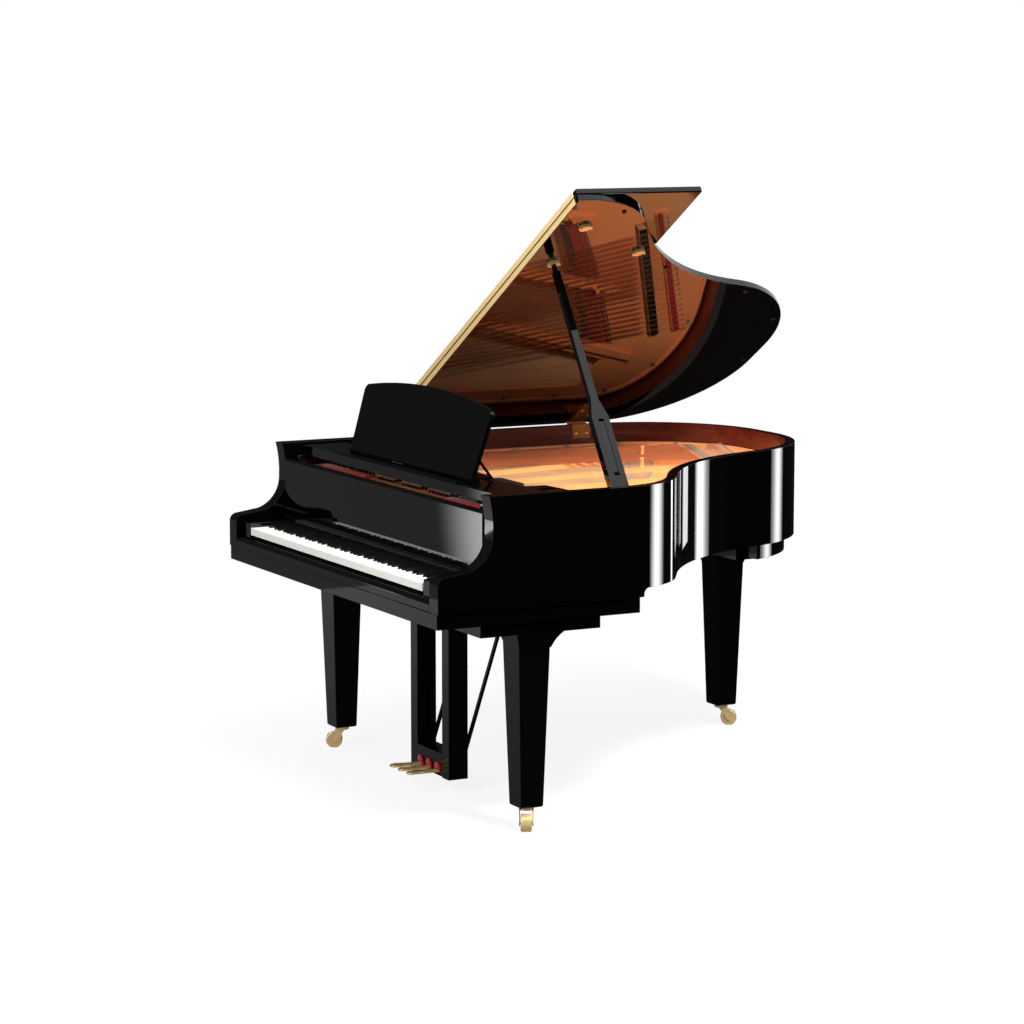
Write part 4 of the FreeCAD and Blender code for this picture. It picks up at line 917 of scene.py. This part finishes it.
post_profile = ((0.0085, 0.0), (0.0085, 0.006), (0.0058, 0.008), (0.0058, 0.028),
                (0.0070, 0.030), (0.0062, 0.033))
post_struts = np.array((0.2, 0.42))
post_shares = np.array((0.92, 0.9))[:, None]
post_sink = 0.001
post_places = fan_point(post_struts, post_shares, plate_high.z - post_sink)
added("plate_posts", repeated(lathed(post_profile, 16), post_places),
      gold_paint, "case")


# Screws in the spine hinges and buttons under the lid.
def faced(shape, rows):
    """A shape turned so that its own axes lie along the given rows."""
    points, faces = shape
    return points @ np.asarray(rows, float), faces


screw_profile = ((0.0048, 0.0), (0.0048, 0.0006), (0.0034, 0.0014), (0.0010, 0.0017))
screw_head = lathed(screw_profile, 14)
hinge_places = (0.700, 1.250)
screw_steps = (-0.020, 0.020)
rim_screw_drop = 0.030
lid_screw_reaches = (0.045, 0.085)
lid_leaf_thickness = 0.002
_, leaf_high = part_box("spine_rim_leaves")
leaf_face = leaf_high.x - case_middle
side_screw = faced(screw_head, ((0, 0, -1), (0, 1, 0), (1, 0, 0)))
side_spots = [(leaf_face, place + step, rim_top - rim_screw_drop)
              for place in hinge_places for step in screw_steps]
added("rim_hinge_screws", repeated(side_screw, side_spots), bright_brass, "case")
down_screw = faced(screw_head, ((1, 0, 0), (0, -1, 0), (0, 0, -1)))
under_spots = [(reach - half_width, place + step, lid_under - lid_leaf_thickness)
               for place in hinge_places for reach in lid_screw_reaches for step in screw_steps]
under_points, under_faces = repeated(down_screw, under_spots)
added("lid_hinge_screws", (raised(under_points), under_faces), bright_brass, "lid")

button_profile = ((0.0050, -0.0045), (0.0070, -0.0035), (0.0072, 0.0))
button_inset = 0.015
button_front = 0.6
button_shares = np.array((0.06, 0.22, 0.36, 0.46, 0.56))
rest_line = outline_path(button_inset, button_front)
rest_steps = np.linalg.norm(np.diff(rest_line, axis=0), axis=1)
rest_length = np.concatenate(((0.0,), np.cumsum(rest_steps)))
rest_places = button_shares * rest_length[-1]
rest_spots = np.stack([np.interp(rest_places, rest_length, rest_line[:, k]) for k in range(3)], 1)
button_points, button_faces = repeated(lathed(button_profile, 16), rest_spots + upright * lid_under)
added("lid_buttons", (raised(button_points), button_faces), rubber, "lid")

# Pedals with rounded toes, and the felt round each slot.
# Each station: place along the pedal, half width, half height, and how far its middle is raised.
pedal_stations = np.array(((0.4195, 0.0100, 0.0040, 0.0),
                           (0.4180, 0.0118, 0.0048, 0.0),
                           (0.4000, 0.0118, 0.0048, 0.0),
                           (0.3400, 0.0115, 0.0048, 0.0),
                           (0.3100, 0.0122, 0.0048, 0.0003),
                           (0.2900, 0.0150, 0.0048, 0.0010),
                           (0.2700, 0.0180, 0.0048, 0.0016),
                           (0.2550, 0.0189, 0.0047, 0.0018),
                           (0.2440, 0.0178, 0.0045, 0.0014),
                           (0.2380, 0.0150, 0.0040, 0.0008),
                           (0.2345, 0.0105, 0.0030, 0.0001),
                           (0.2332, 0.0050, 0.0014, -0.0004)))
pedal_sides = 24
pedal_roundness = 0.6


def pedal_shape(middle, height):
    """A pedal as rounded oblongs along its length: each station's half width and half height times
    the signed powers of cosine and sine."""
    places, widths, halves, rises = pedal_stations.T[:, :, None]
    cosines, sines = np.cos(circle_angles(pedal_sides)), np.sin(circle_angles(pedal_sides))
    x = middle + widths * np.sign(cosines) * np.abs(cosines) ** pedal_roundness
    y = np.broadcast_to(places, x.shape)
    z = height + rises + halves * np.sign(sines) * np.abs(sines) ** pedal_roundness
    return wound(np.stack((x, y, z), -1)[None])


slot_felt = merged(rounded_bar((-0.0105, -0.0075, 0.007), (0.0105, -0.0005, 0.024), edge=0.002),
                   rounded_bar((-0.0145, -0.006, -0.004), (-0.0128, -0.0005, 0.018), edge=0.0008),
                   rounded_bar((0.0128, -0.006, -0.004), (0.0145, -0.0005, 0.018), edge=0.0008))
box_low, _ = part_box("lyre_box")
box_face = box_low.y - case_front
for side in ("left", "middle", "right"):
    low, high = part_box(side + "_pedal")
    middle = (low.x + high.x) / 2 - case_middle
    height = (low.z + high.z) / 2
    pedal = added(side + "_pedal_cast", pedal_shape(middle, height), bright_brass,
                  side + "_pedal")
    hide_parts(side + "_pedal")
    added(side + "_slot_felt", repeated(slot_felt, [(middle, box_face, height)]),
          red_felt, "case")


# Stage: pale floor, soft lamps, and cards that only the polish sees.
def stage_object(name, points, faces, material):
    """A plain mesh that belongs to the stage."""
    mesh = bpy.data.meshes.new(name)
    mesh.from_pydata(np.asarray(points, float).tolist(), [], faces)
    mesh.materials.append(material)
    thing = bpy.data.objects.new(name, mesh)
    bpy.context.scene.collection.objects.link(thing)
    return thing


def glow(name, start, end, level, last):
    """A card's light, going from one level to another along the way from its start to its end."""
    material = bpy.data.materials.new(name)
    material.use_nodes = True
    tree = material.node_tree
    tree.nodes.clear()
    way = end - start
    along = add_math(tree, "DOT_PRODUCT", own_place(tree), way, kind="ShaderNodeVectorMath")
    fade = add_range(tree, along.outputs["Value"], (float(start @ way), float(end @ way)),
                     (level, last), smooth=True)
    shine = tree.nodes.new("ShaderNodeEmission")
    feed(tree, shine.inputs["Strength"], fade)
    leave = tree.nodes.new("ShaderNodeOutputMaterial")
    feed(tree, leave.inputs["Surface"], shine.outputs[0])
    return material


def polish_card(name, corners, start, end, level, last):
    """A lit card that is seen in polished surfaces and nowhere else."""
    light = glow(name + "_glow", start, end, level, last)
    thing = stage_object(name, corners, [(0, 1, 2, 3)], light)
    thing.visible_camera = False
    thing.visible_diffuse = False
    thing.visible_shadow = False
    thing.visible_transmission = False


def card(name, start, end, low, high, level, last=None):
    """An upright card from one plan point to another, its light going from the first level to the
    last."""
    start = np.array((*start, 0.0)) + datum
    end = np.array((*end, 0.0)) + datum
    foot, head = upright * low, upright * high
    corners = (start + foot, end + foot, end + head, start + head)
    polish_card(name, corners, start, end, level, level if last is None else last)


def level_card(name, low, high, height, level, last):
    """A card that lies flat a little over the floor, its light going from one corner to the
    other."""
    low = np.array((*low, height)) + datum
    high = np.array((*high, height)) + datum
    corners = (low, (high[0], low[1], high[2]), high, (low[0], high[1], high[2]))
    polish_card(name, corners, low, high, level, last)


# Plan points of the cards: the dark walls, and the start, crest and end of each bright stripe.
right_near, right_far = (2.6, -2.5), (2.6, 2.4)
back_right, back_left = (0.7, 4.2), (-3.5, 4.2)
left_far, left_near = (-3.5, 1.0), (-3.5, -4.6)
bend_start, bend_crest, bend_end = (0.911, 1.092), (0.815, 1.147), (0.665, 1.195)
tail_start, tail_crest, tail_end = (0.234, 1.836), (0.145, 1.870), (0.065, 1.898)
stripe = {"low": 0.45, "high": 1.15}
back_wall = {"low": 0.0, "high": 1.25}
level_card("floor_dark_card", (-7.0, -7.0), (7.0, 8.0), height=0.002, level=0.016, last=0.012)
level_card("floor_grey_card", (-3.6, -2.6), (0.62, 0.33), height=0.004, level=0.42, last=0.11)
card("right_dark_card", right_near, right_far, low=0.0, high=3.2, level=0.0)
card("far_dark_card", right_far, back_right, level=0.0, **back_wall)
card("back_dark_card", back_right, back_left, level=0.01, **back_wall)
card("left_dark_card", back_left, left_near, low=0.75, high=3.6, level=0.01, last=0.06)
card("left_grey_card", left_far, left_near, low=0.0, high=0.75, level=0.13)
card("bend_near_card", bend_start, bend_crest, level=0.0, last=13.0, **stripe)
card("bend_far_card", bend_crest, bend_end, level=13.0, last=0.0, **stripe)
card("tail_near_card", tail_start, tail_crest, level=1.5, last=9.0, **stripe)
card("tail_far_card", tail_crest, tail_end, level=9.0, last=1.0, **stripe)
card("fallboard_light_card", (-1.90, -1.2), (-2.35, -1.2), low=0.315, high=0.62,
     level=3.2, last=0.14)

floor_reach = 3.3
floor_sides = 72
floor_fade = (1.3, 3.2)
floor_shine = 0.86


def floor_material():
    """Pale studio floor that fades out into the white surround far from the object."""
    material, tree, surface = start_material("studio_floor")
    colour = call_group(tree, fleck_group, Light=tone(112, 112, 112), Dark=tone(109, 109, 109),
                        Scale=3.0)
    feed(tree, surface.inputs["Base Color"], colour.outputs["Colour"])
    surface.inputs["Roughness"].default_value = 0.9
    surface.inputs["Specular IOR Level"].default_value = 0.0
    surface.inputs["Emission Color"].default_value = white
    surface.inputs["Emission Strength"].default_value = floor_shine
    away = add_math(tree, "LENGTH", own_place(tree), kind="ShaderNodeVectorMath")
    fade = add_range(tree, away.outputs["Value"], floor_fade, (1.0, 0.0), smooth=True)
    feed(tree, surface.inputs["Alpha"], fade)
    return material


floor_angles = circle_angles(floor_sides)
floor_ring = np.stack((floor_reach * np.cos(floor_angles), floor_reach * np.sin(floor_angles),
                       np.zeros(floor_sides)), 1)
studio_floor = stage_object("studio_floor", floor_ring, [tuple(range(floor_sides))],
                            floor_material())
studio_floor.visible_glossy = False

surround_light = 0.45


def surround():
    """White surround: full white where it is seen directly or in polish, softer as a light."""
    world = bpy.data.worlds.new("studio_surround")
    world.use_nodes = True
    tree = world.node_tree
    back = tree.nodes["Background"]
    back.inputs["Color"].default_value = white
    rays = tree.nodes.new("ShaderNodeLightPath").outputs
    seen = add_math(tree, "ADD", rays["Is Camera Ray"], rays["Is Glossy Ray"])
    all_seen = add_math(tree, "ADD", seen.outputs[0], rays["Is Transmission Ray"])
    all_seen.use_clamp = True
    level = add_range(tree, all_seen.outputs[0], (0.0, 1.0), (surround_light, 1.0))
    feed(tree, back.inputs["Strength"], level)
    bpy.context.scene.world = world


surround()


def lamp(name, place, aim, size, power):
    """A soft square lamp that looks at a point."""
    light = bpy.data.lights.new(name, "AREA")
    light.size = size
    light.energy = power
    thing = bpy.data.objects.new(name, light)
    bpy.context.scene.collection.objects.link(thing)
    thing.location = place
    x, y, z = np.array(aim) - np.array(place)
    thing.rotation_euler = (math.atan2(math.hypot(x, y), -z), 0.0, math.atan2(-x, y))
    thing.visible_camera = False
    thing.visible_glossy = False


lamp("over_lamp", (1.2, -0.6, 4.2), aim=(0.1, 0.1, 0.8), size=2.6, power=140.0)
lamp("front_lamp", (1.5, -4.0, 3.0), aim=(0.0, 0.0, 0.8), size=2.2, power=90.0)
lamp("well_lamp", (3.0, 0.0, 4.2), aim=(0.1, 0.0, 0.9), size=0.9, power=380.0)

# The camera, placed from the datum; it looks down a little and to the left.
camera_place = np.array((8.54539, -3.83566, 2.16207))
camera_dip = 7.92
camera_heading = 62.47
camera_data = bpy.data.cameras.new("studio_camera")
camera_data.lens = 112.453
camera_data.sensor_width = 36.0
camera = bpy.data.objects.new("studio_camera", camera_data)
camera.location = datum + camera_place
camera.rotation_euler = (math.radians(90.0 - camera_dip), 0.0, math.radians(camera_heading))
bpy.context.scene.collection.objects.link(camera)
bpy.context.scene.camera = camera
bpy.context.scene.view_settings.view_transform = "Standard"
